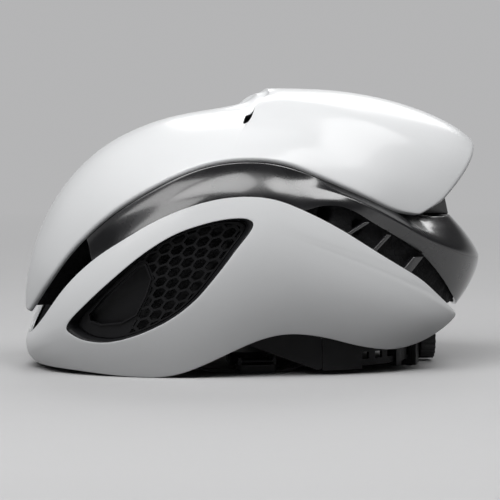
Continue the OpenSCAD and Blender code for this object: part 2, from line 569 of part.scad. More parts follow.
// Fit cradle. The ring axis is vertical, through the middle of the bands' arc. The tilt axis is level, through
// the temple pins.
ring_x = 31;
tilt_x = -45;
tilt_z = 38;
run_gap = 0.05;
slide_gap = 0.3;
housing_turn = 24;
yoke_turn = 42;
housing_in = band_r - band_t / 2 - slide_gap - 2.5;
slot_in = band_r - band_t / 2 - slide_gap;
slot_out = band_r + band_t / 2 + slide_gap;
housing_out = slot_out + 2;
cover_t = 2.5;
cover_in = housing_out + run_gap;
cover_out = cover_in + cover_t;
dial_z = housing_h / 2;
slot_h = housing_h - 8;
shaft_r = 3;
recess_r = cover_out + 2.5;
recess_top = 46;
hanger_r = norm([ring_x + band_r - 0.6 - tilt_x, housing_h - 3 - tilt_z]);
hanger_t = 2;
module arc(r0, r1, a0, a1, z0, z1) {
    translate([ring_x, 0, z0]) rotate([0, 0, a0]) rotate_extrude(angle = a1 - a0, $fn = 96)
        translate([r0, 0]) square([r1 - r0, z1 - z0]);
}
module along_x(x0, x1, r, fn = 48) {
    translate([x0, 0, dial_z]) rotate([0, 90, 0]) cylinder(h = x1 - x0, r = r, $fn = fn);
}
module cradle_recess() {
    translate([ring_x, 0, -1]) cylinder(h = recess_top + 1, r = recess_r, $fn = 48);
}
// An arc about the tilt axis, from height angle a0 to a1
module swing(r0, r1, w, a0, a1) {
    translate([tilt_x, w / 2, tilt_z]) rotate([90, 0, 0]) rotate([0, 0, a0])
        rotate_extrude(angle = a1 - a0, $fn = 360) translate([r0, 0]) square([r1 - r0, w]);
}
socket_low = 3.6;
hanger_top = 11;
socket_high = hanger_top + tilt_range + 1.2;
socket_wall = 1.5;
socket_gap = 0.4;
module socket_pocket() {
    translate([tilt_x, 0, tilt_z]) rotate([90, 0, 0]) translate([0, 0, -hanger_w / 2 - socket_wall - 1])
        rotate([0, 0, socket_low - 2]) rotate_extrude(angle = socket_high - socket_low + 3, $fn = 72)
            translate([hanger_r - hanger_t / 2 - socket_gap - socket_wall - 0.4, 0])
                square([hanger_t + 2 * (socket_gap + socket_wall + 0.4), hanger_w + 2 * socket_wall + 2]);
}
module hanger_socket() {
    in = hanger_r - hanger_t / 2 - socket_gap;
    out = hanger_r + hanger_t / 2 + socket_gap;
    color("#1b1c1f") difference() {
        swing(in - socket_wall, out + socket_wall, hanger_w + 2 * (socket_gap + socket_wall), socket_low,
            socket_high + 0.6);
        swing(in, out, hanger_w + 2 * socket_gap, socket_low - 1, socket_high);
    }
}
hanger_foot = asin((housing_h - 3 - tilt_z) / hanger_r);
module cradle_hanger() {
    color("#1b1c1f") difference() {
        swing(hanger_r - hanger_t / 2, hanger_r + hanger_t / 2, hanger_w, hanger_foot, hanger_top);
        for (i = [0:5]) translate([hanger_r + tilt_x, 0, 40 + 4.5 * i]) cube([12, hanger_w - 12, 1.4], center = true);
    }
}
// A closed channel along the arc
module channel_arc(r0, r1, a0, a1, z0, z1) {
    translate([ring_x, 0, 0]) rotate([0, 0, a0]) rotate_extrude(angle = a1 - a0, $fn = 96) difference() {
        translate([r0, z0]) square([r1 - r0, z1 - z0]);
        translate([slot_in, 4]) square([slot_out - slot_in, slot_h]);
    }
}
module cradle_housing() {
    color("#1b1c1f") difference() {
        union() {
            channel_arc(housing_in, housing_out, -housing_turn, housing_turn, 0, housing_h);
            for (side = [-1, 1]) {
                arc(housing_in, slot_in, side * 33 - 9.5, side * 33 + 9.5, 3, housing_h - 3);
                channel_arc(slot_in - 1, slot_out + 1.4, side * 39.5 - 2.5, side * 39.5 + 2.5, 2, housing_h - 2);
            }
        }
        along_x(ring_x + slot_in + 0.4, ring_x + housing_out + 1, pinion_r + 1.3);
        along_x(ring_x + housing_in - 1, ring_x + slot_in + 1, 3.6);
        swing(hanger_r - hanger_t / 2 - run_gap, hanger_r + hanger_t / 2 + run_gap, hanger_w + 2 * run_gap,
            hanger_foot, hanger_foot + 4);
        for (side = [-1, 1]) {
            arc(housing_in - 1, slot_in + 1, side * 31.5 - 4, side * 31.5 + 4, 8, housing_h - 8);
            screw_line(side) translate([0, 0, housing_in]) cylinder(h = 20, r = 1.1, $fn = 24);
        }
    }
}
screw_turn = 15;
module screw_line(side) {
    translate([ring_x, 0, housing_h - 2]) rotate([0, 0, side * screw_turn]) rotate([0, 90, 0]) children();
}
module housing_cover() {
    color("#232428") difference() {
        arc(cover_in, cover_out, -housing_turn + 1, housing_turn - 1, 0.5, housing_h - 0.2);
        along_x(ring_x + cover_in - 2, ring_x + cover_out + 2, shaft_r + run_gap);
        for (side = [-1, 1]) screw_line(side) translate([0, 0, housing_out - 2]) cylinder(h = 10, r = 1.3, $fn = 24);
    }
}
module cover_screws() {
    color("silver") for (side = [-1, 1]) screw_line(side) {
        translate([0, 0, housing_in + 3]) cylinder(h = cover_out - housing_in - 3, r = 1, $fn = 24);
        translate([0, 0, cover_out + 0.05]) cylinder(h = 1, r = 1.8, $fn = 24);
        translate([0, 0, cover_out - 0.1]) cylinder(h = 0.3, r = 1, $fn = 24);
    }
}
dial_x = ring_x + cover_out + 0.8;
pinion_x = ring_x + band_r - band_t / 2 + 0.05;
pinion_l = band_t - 0.1;
module fit_dial() {
    color("#26272b") difference() {
        union() {
            along_x(pinion_x + pinion_l, dial_x + 1, shaft_r);
            along_x(dial_x, dial_x + dial_l, dial_r, 72);
        }
        for (i = [0:17]) translate([dial_x - 1, 0, dial_z]) rotate([i * 20, 0, 0]) translate([0, 0, dial_r + 0.7])
            rotate([0, 90, 0]) cylinder(h = dial_l + 2, r = 1.5, $fn = 24);
        along_x(dial_x + dial_l - 1.5, dial_x + dial_l + 1, dial_r - 3);
        along_x(pinion_x - 1, pinion_x + pinion_l + 4, 1);
    }
}
tooth_pitch = 2 * PI * pinion_r / pinion_teeth;
module dial_pinion() {
    root = pinion_r - 1;
    crest = pinion_r + 0.7;
    color("#c9cacc") difference() {
        translate([pinion_x, 0, dial_z]) rotate([0, 90, 0]) linear_extrude(pinion_l) {
            circle(root, $fn = 48);
            for (i = [0:pinion_teeth - 1]) rotate(i * 360 / pinion_teeth)
                polygon([[root - 0.5, -0.72], [crest - 0.5, -0.4], [crest, -0.25], [crest, 0.25], [crest - 0.5, 0.4],
                    [root - 0.5, 0.72]]);
        }
        along_x(pinion_x - 1, pinion_x + pinion_l + 1, 1);
    }
}
module dial_screw() {
    color("silver") {
        along_x(pinion_x - 0.02, pinion_x + pinion_l + 3.5, 0.95, 24);
        along_x(pinion_x - 1.4, pinion_x - 0.02, 2.4, 24);
    }
}
// A band: its toothed tail passes under the pinion, or over it on the right side, and its broad part slides in
// the temple arm's sleeve. Angles run from the rear middle towards the band's own side.
tail_end = -7;
tail_meet = 26;
band_end = 83;
tail_h = 2.65;
band_low = 4.4;
rack_root = band_low + tail_h;
rack_crest = dial_z - pinion_r + 0.72;
rack_step = tooth_pitch / band_r * 180 / PI;
band_high = 2 * dial_z - band_low - 4.9;
module band() {
    in = band_r - band_t / 2;
    out = band_r + band_t / 2;
    arc(in, out, -tail_meet, -tail_end, band_low, rack_root);
    difference() {
        arc(in, out, -band_end, -tail_meet, band_low, band_high);
        for (i = [0:3]) arc(in - 1, out + 1, -34 - 9 * i - 5, -34 - 9 * i, band_low + 4, band_high - 4);
    }
    for (i = [-7:2]) translate([ring_x, 0, 0]) rotate([0, 0, (i + 0.5) * rack_step]) translate([in, 0, 0])
        rotate([90, 0, 90]) linear_extrude(band_t)
            polygon([[-0.85, rack_root - 0.4], [0.85, rack_root - 0.4], [0.62, rack_root + 0.4], [0.3, rack_crest],
                [-0.3, rack_crest], [-0.62, rack_root + 0.4]]);
}
module left_band() {
    color("#2a2b30") band();
}
module right_band() {
    color("#2a2b30") translate([0, 0, 2 * dial_z]) rotate([180, 0, 0]) band();
}
// Temple arms: a sleeve round the band's front end, and a bar to the temple pin
sleeve_turn = [66, 87];
sleeve_wall = 1.4;
arm_y = 69.6;
module arm(side) {
    low = band_low - slide_gap - 1.5;
    high = 2 * dial_z - low;
    difference() {
        union() {
            translate([ring_x, 0, low]) rotate([0, 0, side > 0 ? sleeve_turn[0] : -sleeve_turn[1]])
                rotate_extrude(angle = sleeve_turn[1] - sleeve_turn[0], $fn = 96)
                    translate([slot_in - sleeve_wall, 0]) square([slot_out - slot_in + 2 * sleeve_wall, high - low]);
            translate([0, side * (arm_y + arm_t / 2) + arm_t / 2, 0]) rotate([90, 0, 0]) linear_extrude(arm_t)
                polygon([[tilt_x - 2, tilt_z - 5.8], [ring_x + 1, low], [ring_x + 5, low + 2], [ring_x + 5, high - 2],
                    [ring_x + 1, high], [tilt_x + 2, tilt_z + 5.8]]);
            translate([tilt_x, side * (arm_y + arm_t / 2) + arm_t / 2, tilt_z]) rotate([90, 0, 0])
                cylinder(h = arm_t, r = 6.2, $fn = 48);
        }
        translate([tilt_x, side * (arm_y + arm_t) + 5, tilt_z]) rotate([90, 0, 0])
            cylinder(h = arm_t + 10, r = temple_pin_r + run_gap, $fn = 48);
        arc(slot_in, slot_out, side > 0 ? sleeve_turn[0] - 2 : -sleeve_turn[1] - 4,
            side > 0 ? sleeve_turn[1] + 4 : -sleeve_turn[0] + 2, band_low - slide_gap, 2 * dial_z - band_low + slide_gap);
    }
}
module left_temple_arm() {
    color("#1b1c1f") arm(-1);
}
module right_temple_arm() {
    color("#1b1c1f") arm(1);
}
anchor_r = 8;
anchor_l = 4;
module anchor_pocket(side) {
    translate([tilt_x, side * (arm_y + arm_t + anchor_l / 2 + 0.4), tilt_z]) rotate([90, 0, 0])
        cylinder(h = anchor_l + 3.4, r = anchor_r + 0.3, center = true, $fn = 36);
}
module temple_anchor(side) {
    y0 = arm_y + arm_t + 0.3;
    color("#1b1c1f") translate([tilt_x, 0, tilt_z]) rotate([side * -90, 0, 0]) {
        translate([0, 0, y0]) cylinder(h = anchor_l, r = anchor_r, $fn = 48);
        translate([0, 0, arm_y - 1]) cylinder(h = y0 - arm_y + 2, r = temple_pin_r, $fn = 48);
        translate([0, 0, arm_y - 1.8]) cylinder(h = 1.5, r = temple_pin_r + 1.6, $fn = 48);
    }
}
module left_temple_anchor() {
    temple_anchor(-1);
}
module right_temple_anchor() {
    temple_anchor(1);
}
module cradle_pads() {
    color("#2b2c2f") for (side = [-1, 1])
        arc(housing_in - 3.3, housing_in - 0.3, side * 20 - 13, side * 20 + 13, 5, housing_h - 5);
}

// Harness: flat webbing that runs from the cavity's wall down onto the surface, to a divider on each side and
// on to the buckle. A route is a list of points, and the width is level.
function side_of(a, d) = let (n = cross(d, [0, 0, 1])) norm(n) < 0.01 ? [0, 1, 0] : n / norm(n);
module webbing(route, rings) {
    knots = [for (i = [0:len(route) - 1]) [i, route[i]]];
    last = len(route) - 1;
    c = [for (i = [0:rings]) curve(knots, last * i / rings)];
    d = [for (i = [0:rings]) c[min(i + 1, rings)] - c[max(i - 1, 0)]];
    w = [for (i = [0:rings]) side_of(c[i], d[i]) * strap_w / 2];
    u = [for (i = [0:rings]) let (n = cross(w[i], d[i])) n / norm(n) * strap_t / 2];
    points = [for (i = [0:rings]) each [c[i] - w[i] - u[i], c[i] + w[i] - u[i], c[i] + w[i] + u[i], c[i] - w[i] + u[i]]];
    faces = concat([[0, 2, 1], [0, 3, 2]],
        [for (i = [0:rings - 1]) for (k = [0:3]) let (a = 4 * i + k, b = 4 * i + (k + 1) % 4)
            each [[a, b + 4, a + 4], [a, b, b + 4]]],
        [let (a = 4 * rings) each [[a, a + 1, a + 2], [a, a + 2, a + 3]]]);
    polyhedron(points, faces, 10);
}
divider_x = -4;
divider_y = 50;
lie = strap_t / 2 + 0.4;
divider_in = divider_y - divider_w / 2;
front_route = [[-59.5, -68.4, 21], [-58.4, -65.2, 20.7], [-56, -62, 16], [-50, -59, 8.5], [-42, -55.5, 3.4],
    [-33, -52, 1.4], [-25, -50.3, lie], [divider_x - divider_l / 2 - 2, -divider_y, lie],
    [divider_x - divider_l / 2 + 3, -divider_y, lie]];
rear_route = [[57.05, -56.2, 62], [55.3, -53.6, 61.5], [53, -51.8, 55], [49.5, -50.6, 43], [45, -50, 30],
    [38, -50, 18], [29, -50, 8], [20, -50, 2.4], [divider_x + divider_l / 2 + 2, -divider_y, lie],
    [divider_x + divider_l / 2 - 3, -divider_y, lie]];
buckle_x = divider_x;
buckle_h = 8;
buckle_end = 16;
buckle_slot = 3;
chin_route = [[buckle_x, 2.5 - divider_in - 4.5, lie], [buckle_x, 1 - divider_in, lie], [buckle_x, -35, 2],
    [buckle_x, -29, 4.2], [buckle_x, -22, 3.8], [buckle_x, -buckle_end - 0.5, buckle_slot],
    [buckle_x, -buckle_end + 2.5, buckle_slot]];
module left_front_strap() {
    color("#161618") webbing(front_route, 20);
}
module right_front_strap() {
    color("#161618") mirror([0, 1, 0]) webbing(front_route, 20);
}
module left_rear_strap() {
    color("#161618") webbing(rear_route, 22);
}
module right_rear_strap() {
    color("#161618") mirror([0, 1, 0]) webbing(rear_route, 22);
}
module left_chin_strap() {
    color("#161618") webbing(chin_route, 12);
}
module right_chin_strap() {
    color("#161618") mirror([0, 1, 0]) webbing(chin_route, 12);
}
// A slotted plate on the cavity's wall for each strap
plate_t = 2;
module strap_anchor(a, z, turn) {
    half = (strap_w / 2 + 3) / 86 * 180 / PI;
    function row(v, in) = [for (i = [-2:2]) wall_spot(a + half * i / 2, z + v * (4.5 - 0.4 * pow(i, 2)), in)];
    difference() {
        wall([row(-1, 0.5), row(1, 0.5)], [row(-1, 0.5 + plate_t), row(1, 0.5 + plate_t)]);
        translate(wall_spot(a, z, 1)) rotate([0, 0, turn]) cube([strap_w + 1, 12, strap_t + 1.8], center = true);
    }
}
module rounded_plate(l, w, h, r) {
    linear_extrude(h) {
        square([l - 2 * r, w], center = true);
        square([l, w - 2 * r], center = true);
        for (x = [-1, 1]) for (y = [-1, 1]) translate([x * (l / 2 - r), y * (w / 2 - r)]) circle(r, $fn = 24);
    }
}
module anchors_one_side() {
    strap_anchor(55.4, 20.9, -20);
    strap_anchor(140.6, 61.9, 35.5);
}
module strap_anchors() {
    color("#1b1c1f") {
        anchors_one_side();
        mirror([0, 1, 0]) anchors_one_side();
    }
}
// Dividers: slotted plates where a front, a rear and a chin strap meet, each with a latch that flips up
divider_h = 5.1;
slot_h2 = lie + strap_t / 2 + 0.4;
latch_y = divider_y + 5.5;
latch_z = divider_h + 2;
latch_r = 1.7;
latch_l = 19;
latch_pin_r = 0.9;
module divider() {
    difference() {
        union() {
            translate([divider_x, -divider_y, 0]) rounded_plate(divider_l, divider_w, divider_h, 4);
            for (x = [-1, 1]) translate([divider_x + x * (latch_l / 2 + 1.3), -latch_y, divider_h - 1])
                translate([-1, -2.4, 0]) cube([2, 4.8, latch_z + 2.2 - divider_h + 1]);
        }
        for (x = [-1, 1]) translate([divider_x + x * (divider_l / 2 - 1.5), -divider_y, 0])
            cube([4.4, strap_w + 1.6, 2 * slot_h2], center = true);
        translate([divider_x, -divider_in + 0.6, 0]) cube([strap_w + 1, 7, 2 * slot_h2], center = true);
        translate([divider_x - 20, -latch_y, latch_z]) rotate([0, 90, 0])
            cylinder(h = 40, r = latch_pin_r + 0.02, $fn = 24);
    }
}
module latch() {
    difference() {
        union() {
            translate([divider_x - latch_l / 2, -latch_y, latch_z]) rotate([0, 90, 0])
                cylinder(h = latch_l, r = latch_r, $fn = 36);
            translate([divider_x - latch_l / 2, -latch_y, divider_h + 0.35]) cube([latch_l, 12.5, 2]);
            translate([divider_x - latch_l / 2, -latch_y + 10.5, divider_h + 0.35]) cube([latch_l, 2, 2.8]);
        }
        translate([divider_x - 20, -latch_y, latch_z]) rotate([0, 90, 0])
            cylinder(h = 40, r = latch_pin_r + run_gap, $fn = 24);
    }
}
module left_divider() {
    color("#1b1c1f") divider();
}
module right_divider() {
    color("#1b1c1f") mirror([0, 1, 0]) divider();
}
module left_latch() {
    color("#2a2b30") latch();
}
module right_latch() {
    color("#2a2b30") mirror([0, 1, 0]) latch();
}
module latch_pins() {
    color("silver") for (side = [-1, 1])
        translate([divider_x - latch_l / 2 - 2.3, side * latch_y, latch_z]) rotate([0, 90, 0])
            cylinder(h = latch_l + 4.6, r = latch_pin_r, $fn = 24);
}
// Buckle: a socket and a two-pronged tongue that pulls out sideways
prong_l = 12;
prong_w = 2.6;
tongue_l = buckle_end - 4;
module buckle_socket() {
    in = buckle_w / 2 - 2.2;
    color("#1b1c1f") difference() {
        translate([buckle_x, 3.7 - (buckle_end + 3.7) / 2 , 0]) rounded_plate(buckle_w, buckle_end + 3.7, buckle_h, 3);
        translate([buckle_x - in, -10, 2]) cube([2 * in, 20, buckle_h - 4]);
        for (side = [-1, 1]) translate([buckle_x + side * buckle_w / 2, -6.5, buckle_h / 2])
            cube([7, 5, buckle_h - 4.6], center = true);
        translate([buckle_x, -buckle_end, buckle_slot]) cube([strap_w + 1, 6, strap_t + 1], center = true);
    }
}
module buckle_tongue() {
    out = buckle_w / 2 - 2.6;
    color("#1b1c1f") difference() {
        union() {
            translate([buckle_x, 4 + tongue_l / 2, 0]) rounded_plate(buckle_w - 1, tongue_l, buckle_h, 3);
            for (side = [-1, 1]) translate([buckle_x + side * (out - prong_w / 2) - prong_w / 2, 5 - prong_l - 1, 2.4])
                cube([prong_w, prong_l + 2, buckle_h - 4.8]);
            translate([buckle_x - 1.5, -5, 2.4]) cube([3, 10, buckle_h - 4.8]);
        }
        translate([buckle_x, buckle_end, buckle_slot]) cube([strap_w + 1, 6, strap_t + 1], center = true);
    }
}

upper_shell();
lower_shell();
mid_shell();
tail_strut();
upper_foam();
lower_foam();
left_vent_grille();
right_vent_grille();
left_vent_fins();
right_vent_fins();
brow_pad();
crown_pad();
left_side_pad();
right_side_pad();
left_temple_anchor();
right_temple_anchor();
hanger_socket();
cradle_housing();
housing_cover();
cover_screws();
cradle_hanger();
left_temple_arm();
right_temple_arm();
cradle_pads();
fit_dial();
dial_pinion();
dial_screw();
left_band();
right_band();
strap_anchors();
left_front_strap();
right_front_strap();
left_rear_strap();
right_rear_strap();
left_chin_strap();
right_chin_strap();
left_divider();
right_divider();
left_latch();
right_latch();
latch_pins();
buckle_socket();
buckle_tongue();
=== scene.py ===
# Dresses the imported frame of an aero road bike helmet. The shells, pads and webbing are new pieces over the
# frame's solids, and the hardware keeps its solids with rounded edges and moulded finishes.
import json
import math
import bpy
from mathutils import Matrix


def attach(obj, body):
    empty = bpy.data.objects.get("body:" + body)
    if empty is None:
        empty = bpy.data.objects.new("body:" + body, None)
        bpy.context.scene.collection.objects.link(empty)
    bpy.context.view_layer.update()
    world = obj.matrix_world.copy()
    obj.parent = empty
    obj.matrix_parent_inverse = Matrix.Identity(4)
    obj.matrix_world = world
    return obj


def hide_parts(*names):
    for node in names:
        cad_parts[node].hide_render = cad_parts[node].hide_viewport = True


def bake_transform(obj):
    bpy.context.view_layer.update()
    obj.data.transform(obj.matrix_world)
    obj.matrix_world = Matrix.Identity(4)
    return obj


bl_info = {
    "name": "Aero Road Bike Helmet",
    "version": (1, 0, 0),
    "blender": (4, 5, 0),
    "location": "3D View > Sidebar > Helmet",
    "description": "Shells, liner, pads, webbing and finishes for the packed frame of a bike helmet",
    "category": "Object",
}

import bmesh
import bpy
from mathutils import Vector

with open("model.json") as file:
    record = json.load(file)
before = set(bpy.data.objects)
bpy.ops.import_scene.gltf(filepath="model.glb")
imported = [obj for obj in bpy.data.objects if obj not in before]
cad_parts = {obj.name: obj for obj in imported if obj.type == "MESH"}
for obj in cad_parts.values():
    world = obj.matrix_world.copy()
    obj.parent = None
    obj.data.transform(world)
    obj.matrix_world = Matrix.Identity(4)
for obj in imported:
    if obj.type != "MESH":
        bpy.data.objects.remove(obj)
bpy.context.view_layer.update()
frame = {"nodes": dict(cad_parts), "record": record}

MM = 0.001
# Points closer together than this are one
MERGE = 0.01 * MM
# Shell surfaces face away from here
HEART = Vector((0, 0, 70)) * MM


class HelmetShape(bpy.types.PropertyGroup):
    """Sizes of the helmet's outside, the same as the frame's"""

    length: bpy.props.FloatProperty(
        name="Length", description="From nose to tail", default=0.292, unit="LENGTH")
    width: bpy.props.FloatProperty(
        name="Width", description="Across the belt line", default=0.2, unit="LENGTH")
    height: bpy.props.FloatProperty(
        name="Height", description="From the resting surface to the crown", default=0.175, unit="LENGTH")
    wall: bpy.props.FloatProperty(
        name="Shell wall", description="Thickness of the outer shells", default=0.0022, unit="LENGTH")
    hem: bpy.props.FloatProperty(
        name="Hem radius", description="Radius of the upper shell's turned edge", default=0.0026, unit="LENGTH")
    scoop: bpy.props.FloatProperty(
        name="Scoop height", description="Height of the raised rear over the front", default=0.0105, unit="LENGTH")
    ramp: bpy.props.FloatProperty(
        name="Ramp", description="Half the width of the centre ramp", default=0.009, unit="LENGTH")
    inlet_end: bpy.props.FloatProperty(
        name="Inlet end", description="Distance of an inlet's end from the middle", default=0.049, unit="LENGTH")
    bead: bpy.props.FloatProperty(
        name="Foam cell", description="Cell size at which the liner's surface is rebuilt", default=0.0018,
        unit="LENGTH")


class HelmetFinish(bpy.types.PropertyGroup):
    """Colours of the helmet's finishes"""

    white: bpy.props.FloatVectorProperty(
        name="Shell white", description="Clear-coated outer shells", default=(0.84, 0.85, 0.86), subtype="COLOR")
    gloss_black: bpy.props.FloatVectorProperty(
        name="Gloss black", description="Polished middle band", default=(0.006, 0.006, 0.007), subtype="COLOR")
    matte_black: bpy.props.FloatVectorProperty(
        name="Matte black", description="Moulded hardware", default=(0.011, 0.011, 0.012), subtype="COLOR")
    foam: bpy.props.FloatVectorProperty(
        name="Foam", description="Expanded foam liner", default=(0.012, 0.012, 0.013), subtype="COLOR")
    fabric: bpy.props.FloatVectorProperty(
        name="Pad fabric", description="Knitted pad covers", default=(0.035, 0.036, 0.04), subtype="COLOR")
    webbing: bpy.props.FloatVectorProperty(
        name="Webbing", description="Woven straps", default=(0.02, 0.02, 0.022), subtype="COLOR")
    steel: bpy.props.FloatVectorProperty(
        name="Steel", description="Screws, pins and pinion", default=(0.6, 0.6, 0.62), subtype="COLOR")


class HelmetStage(bpy.types.PropertyGroup):
    """Floor, lamps and camera"""

    floor: bpy.props.FloatVectorProperty(
        name="Floor", description="Colour of the floor", default=(0.52, 0.52, 0.525), subtype="COLOR")
    backdrop: bpy.props.FloatVectorProperty(
        name="Backdrop", description="Colour behind the floor", default=(0.46, 0.46, 0.465), subtype="COLOR")
    azimuth: bpy.props.FloatProperty(
        name="Azimuth", description="Camera's turn from the left side", default=math.radians(-7),
        subtype="ANGLE")
    elevation: bpy.props.FloatProperty(
        name="Elevation", description="Camera's height as an angle", default=math.radians(4.5), subtype="ANGLE")
    distance: bpy.props.FloatProperty(
        name="Distance", description="From the camera to its aim", default=1.8, unit="LENGTH")
    aim: bpy.props.FloatVectorProperty(
        name="Aim", description="Point in the middle of the view", default=(-0.0015, 0, 0.072),
        subtype="TRANSLATION")
    lens: bpy.props.FloatProperty(name="Lens", description="Focal length in millimetres", default=202.5)


# ---------------------------------------------------------------- curves through knots

def curve(knots, u):
    """Smooth value at u through knots of (u, value), where a value is a number or a Vector."""
    i = 0
    while i < len(knots) - 2 and u >= knots[i + 1][0]:
        i += 1

    def slope(j):
        a, b = max(j - 1, 0), min(j + 1, len(knots) - 1)
        return (knots[b][1] - knots[a][1]) * (1 / (knots[b][0] - knots[a][0]))

    h = knots[i + 1][0] - knots[i][0]
    s = (u - knots[i][0]) / h
    return (knots[i][1] * ((1 + 2 * s) * (1 - s) ** 2) + slope(i) * (s * (1 - s) ** 2 * h)
            + knots[i + 1][1] * (s * s * (3 - 2 * s)) + slope(i + 1) * (s * s * (s - 1) * h))


def straight(knots, u):
    """Value at u on straight lines between knots of (u, value)."""
    i = 0
    while i < len(knots) - 2 and u >= knots[i + 1][0]:
        i += 1
    s = (u - knots[i][0]) / (knots[i + 1][0] - knots[i][0])
    return knots[i][1] + (knots[i + 1][1] - knots[i][1]) * s


def step(a, b, u):
    """Smooth rise from 0 at a to 1 at b."""
    s = min(max((u - a) / (b - a), 0), 1)
    return s * s * (3 - 2 * s)


def mix(a, b, u):
    return a + (b - a) * u


def even(a, b, n):
    """n + 1 values from a to b."""
    return [mix(a, b, i / n) for i in range(n + 1)]


# ---------------------------------------------------------------- the helmet's surfaces, in millimetres

# Half the length, half the width and the height at which the knots are given
DRAWN_HX, DRAWN_HY, DRAWN_HEIGHT = 146, 100, 175
# Shape of the belt round the head, seen from above
PLAN = 0.85
# Lower shell: the angle round the belt of its tip, heights of its edges over that angle, how far they tuck in, and
# how late the tucks set in towards the edges
TIP = 151.2
LOW_EDGE = [(0, 5), (12, 3.5), (22, 3), (32, 2.5), (42, 1.2), (53, 0), (61, 0), (67, 2.5), (74, 9), (81, 17),
            (88, 24), (94, 27), (101, 26), (107, 23), (113, 19), (120, 16), (127, 15), (135, 18), (141, 22),
            (148, 28), (TIP, 31.8)]
TOP_EDGE = [(0, 20), (7, 24), (15, 31), (21, 40), (27, 51), (35, 64), (42, 74), (51, 85), (59, 95), (68, 104),
            (77, 110), (85, 111.5), (92, 109), (100, 101), (108, 91), (118, 77), (126, 67), (134, 58), (142, 47),
            (TIP, 36.2)]
TUCK_LOW = [(0, 4), (12, 6), (30, 10), (50, 13), (62, 14), (80, 13), (100, 12), (130, 12), (142, 8), (TIP, 1)]
TUCK_TOP = [(0, 3), (20, 5), (40, 8), (60, 9), (90, 8), (120, 7), (142, 5), (TIP, 1)]
BULGE = [(0, 0), (20, 0), (50, 1), (75, 1.5), (100, 1), (130, 1.5), (142, 3), (TIP, 6.5)]
LOW_LATE, TOP_LATE = 2.4, 3
# Side vent: a leaf given as angle and height on the belt, and the shell's edge that each of its rays meets
LEAF = [(i, Vector(p)) for i, p in enumerate([
    (33.5, 24.5), (38, 21.5), (46, 21), (55, 26), (64, 35.5), (71, 48), (77, 65), (81.5, 80), (85.5, 93.5),
    (84.5, 98.5), (79.5, 98.5), (73, 95), (65.5, 88.5), (57, 76.5), (47, 59), (38.5, 44), (32.5, 33.5), (31, 28),
    (33.5, 24.5)])]
LEAF_MIDDLE = Vector((58, 60))
RIM_ANGLE = [(0, 0), (1, 25), (2, 44), (3, 57), (4, 70), (5, 83), (6, 101), (7, 126), (7.8, TIP), (8.2, TIP),
             (8.6, 131), (9, 112), (9.5, 96), (10, 86), (11, 76), (12, 67), (13, 55), (14, 40), (15, 22), (16, 0),
             (17, 0), (18, 0)]
RIM_HEIGHT = [(0, 0), (7.8, 0), (8.2, 1), (16, 1), (17, 0.5), (18, 0)]
# Middle band: the angle where its lower edge starts, and how much further forward its crease does
BAND_START, BAND_SLANT = 39, 3
# Heights and offsets of its lower edge, crease and upper edge
BAND_LOW = [(BAND_START, 68), (50, 80), (60, 91), (70, 101), (80, 106), (90, 105.5), (98, 101.5), (102, 105),
            (108, 105.5), (113, 101.5), (118, 94.5), (126, 85.5), (136, 73.5), (145, 60), (155, 47), (167, 39),
            (180, 36)]
BAND_CREASE = [(BAND_START, 77), (50, 92), (60, 104), (75, 118), (90, 121), (102, 118), (112, 110), (126, 94),
               (135, 84), (148, 75), (160, 70), (180, 68)]
BAND_TOP = [(34, 84), (36, 84.5), (48, 104.5), (60, 122.5), (70, 132.5), (78, 136.5), (90, 137), (100, 131),
            (112, 120), (120, 113), (126, 108), (135, 101), (142, 96.5), (155, 95), (180, 94)]
BAND_LOW_IN = [(34, 13), (98, 13), (107, 13), (126, 13), (145, 12), (160, 14), (180, 16)]
BAND_CREASE_IN = [(34, 17), (60, 17.5), (90, 17), (102, 16.5), (112, 14), (126, 9), (138, 5.5), (150, 3), (180, 0)]
BAND_TOP_IN = [(34, 25.5), (42, 28), (60, 30.5), (90, 32.2), (112, 33.4), (126, 32.7), (138, 29.5), (146, 25),
               (160, 20), (180, 19)]
# How hollow its two creased faces are, and between which angles the hollow grows
HOLLOW, HOLLOW_FROM, HOLLOW_UNTIL = 0.35, 100, 140
# Its front half has a lip just under the upper shell's edge. Up to the lip's share it is one rounded surface, as
# round as this, which turns into the two creased faces between these angles
BAND_LIP = [(34, 83.8), (40, 92.4), (46, 100.2), (52, 107.5), (58, 114.2), (63, 119.7), (68, 124.4), (73, 128.2),
            (79, 131), (86, 131.8), (93, 130), (100, 125), (105, 120.3), (125, 105)]
BAND_LIP_IN = [(34, 17.3), (40, 18.6), (46, 19.6), (52, 20.6), (58, 21.4), (63, 21.8), (73, 22.5), (100, 22.5),
               (125, 22.5)]
LIP_SHARE = 1.68
BAND_ROUND = 0.7
ROUND_UNTIL, CREASED_FROM = 94, 124
# Upper shell: its crown and its near edge from the nose, 0, to the tail, 1
CROWN = [(s, Vector(p)) for s, p in [
    (0, (-145, 0, 35)), (0.06, (-144.6, 0, 50)), (0.14, (-139.4, 0, 76)), (0.24, (-123.2, 0, 110)),
    (0.34, (-96, 0, 138)), (0.44, (-62, 0, 154.5)), (0.54, (-26, 0, 162)), (0.6, (2, 0, 164.5)),
    (0.7, (32, 0, 165)), (0.79, (62, 0, 163)), (0.88, (96, 0, 156.5)), (0.95, (127, 0, 148)), (1, (142.5, 0, 141.5))]]
SIDE = [(s, Vector(p)) for s, p in [
    (0, (-143, -8, 34.5)), (0.06, (-139.5, -17, 41.5)), (0.14, (-131, -32, 57)), (0.24, (-117, -44, 77.5)),
    (0.34, (-96, -57, 99)), (0.44, (-70, -67.5, 116.5)), (0.54, (-42, -74.5, 129.5)), (0.6, (-20, -77.5, 133.7)),
    (0.7, (8, -78, 132)), (0.79, (34, -76, 122)), (0.88, (62, -72.5, 109.5)), (0.95, (81.5, -66, 99)),
    (1, (97.5, -60.5, 90.3))]]
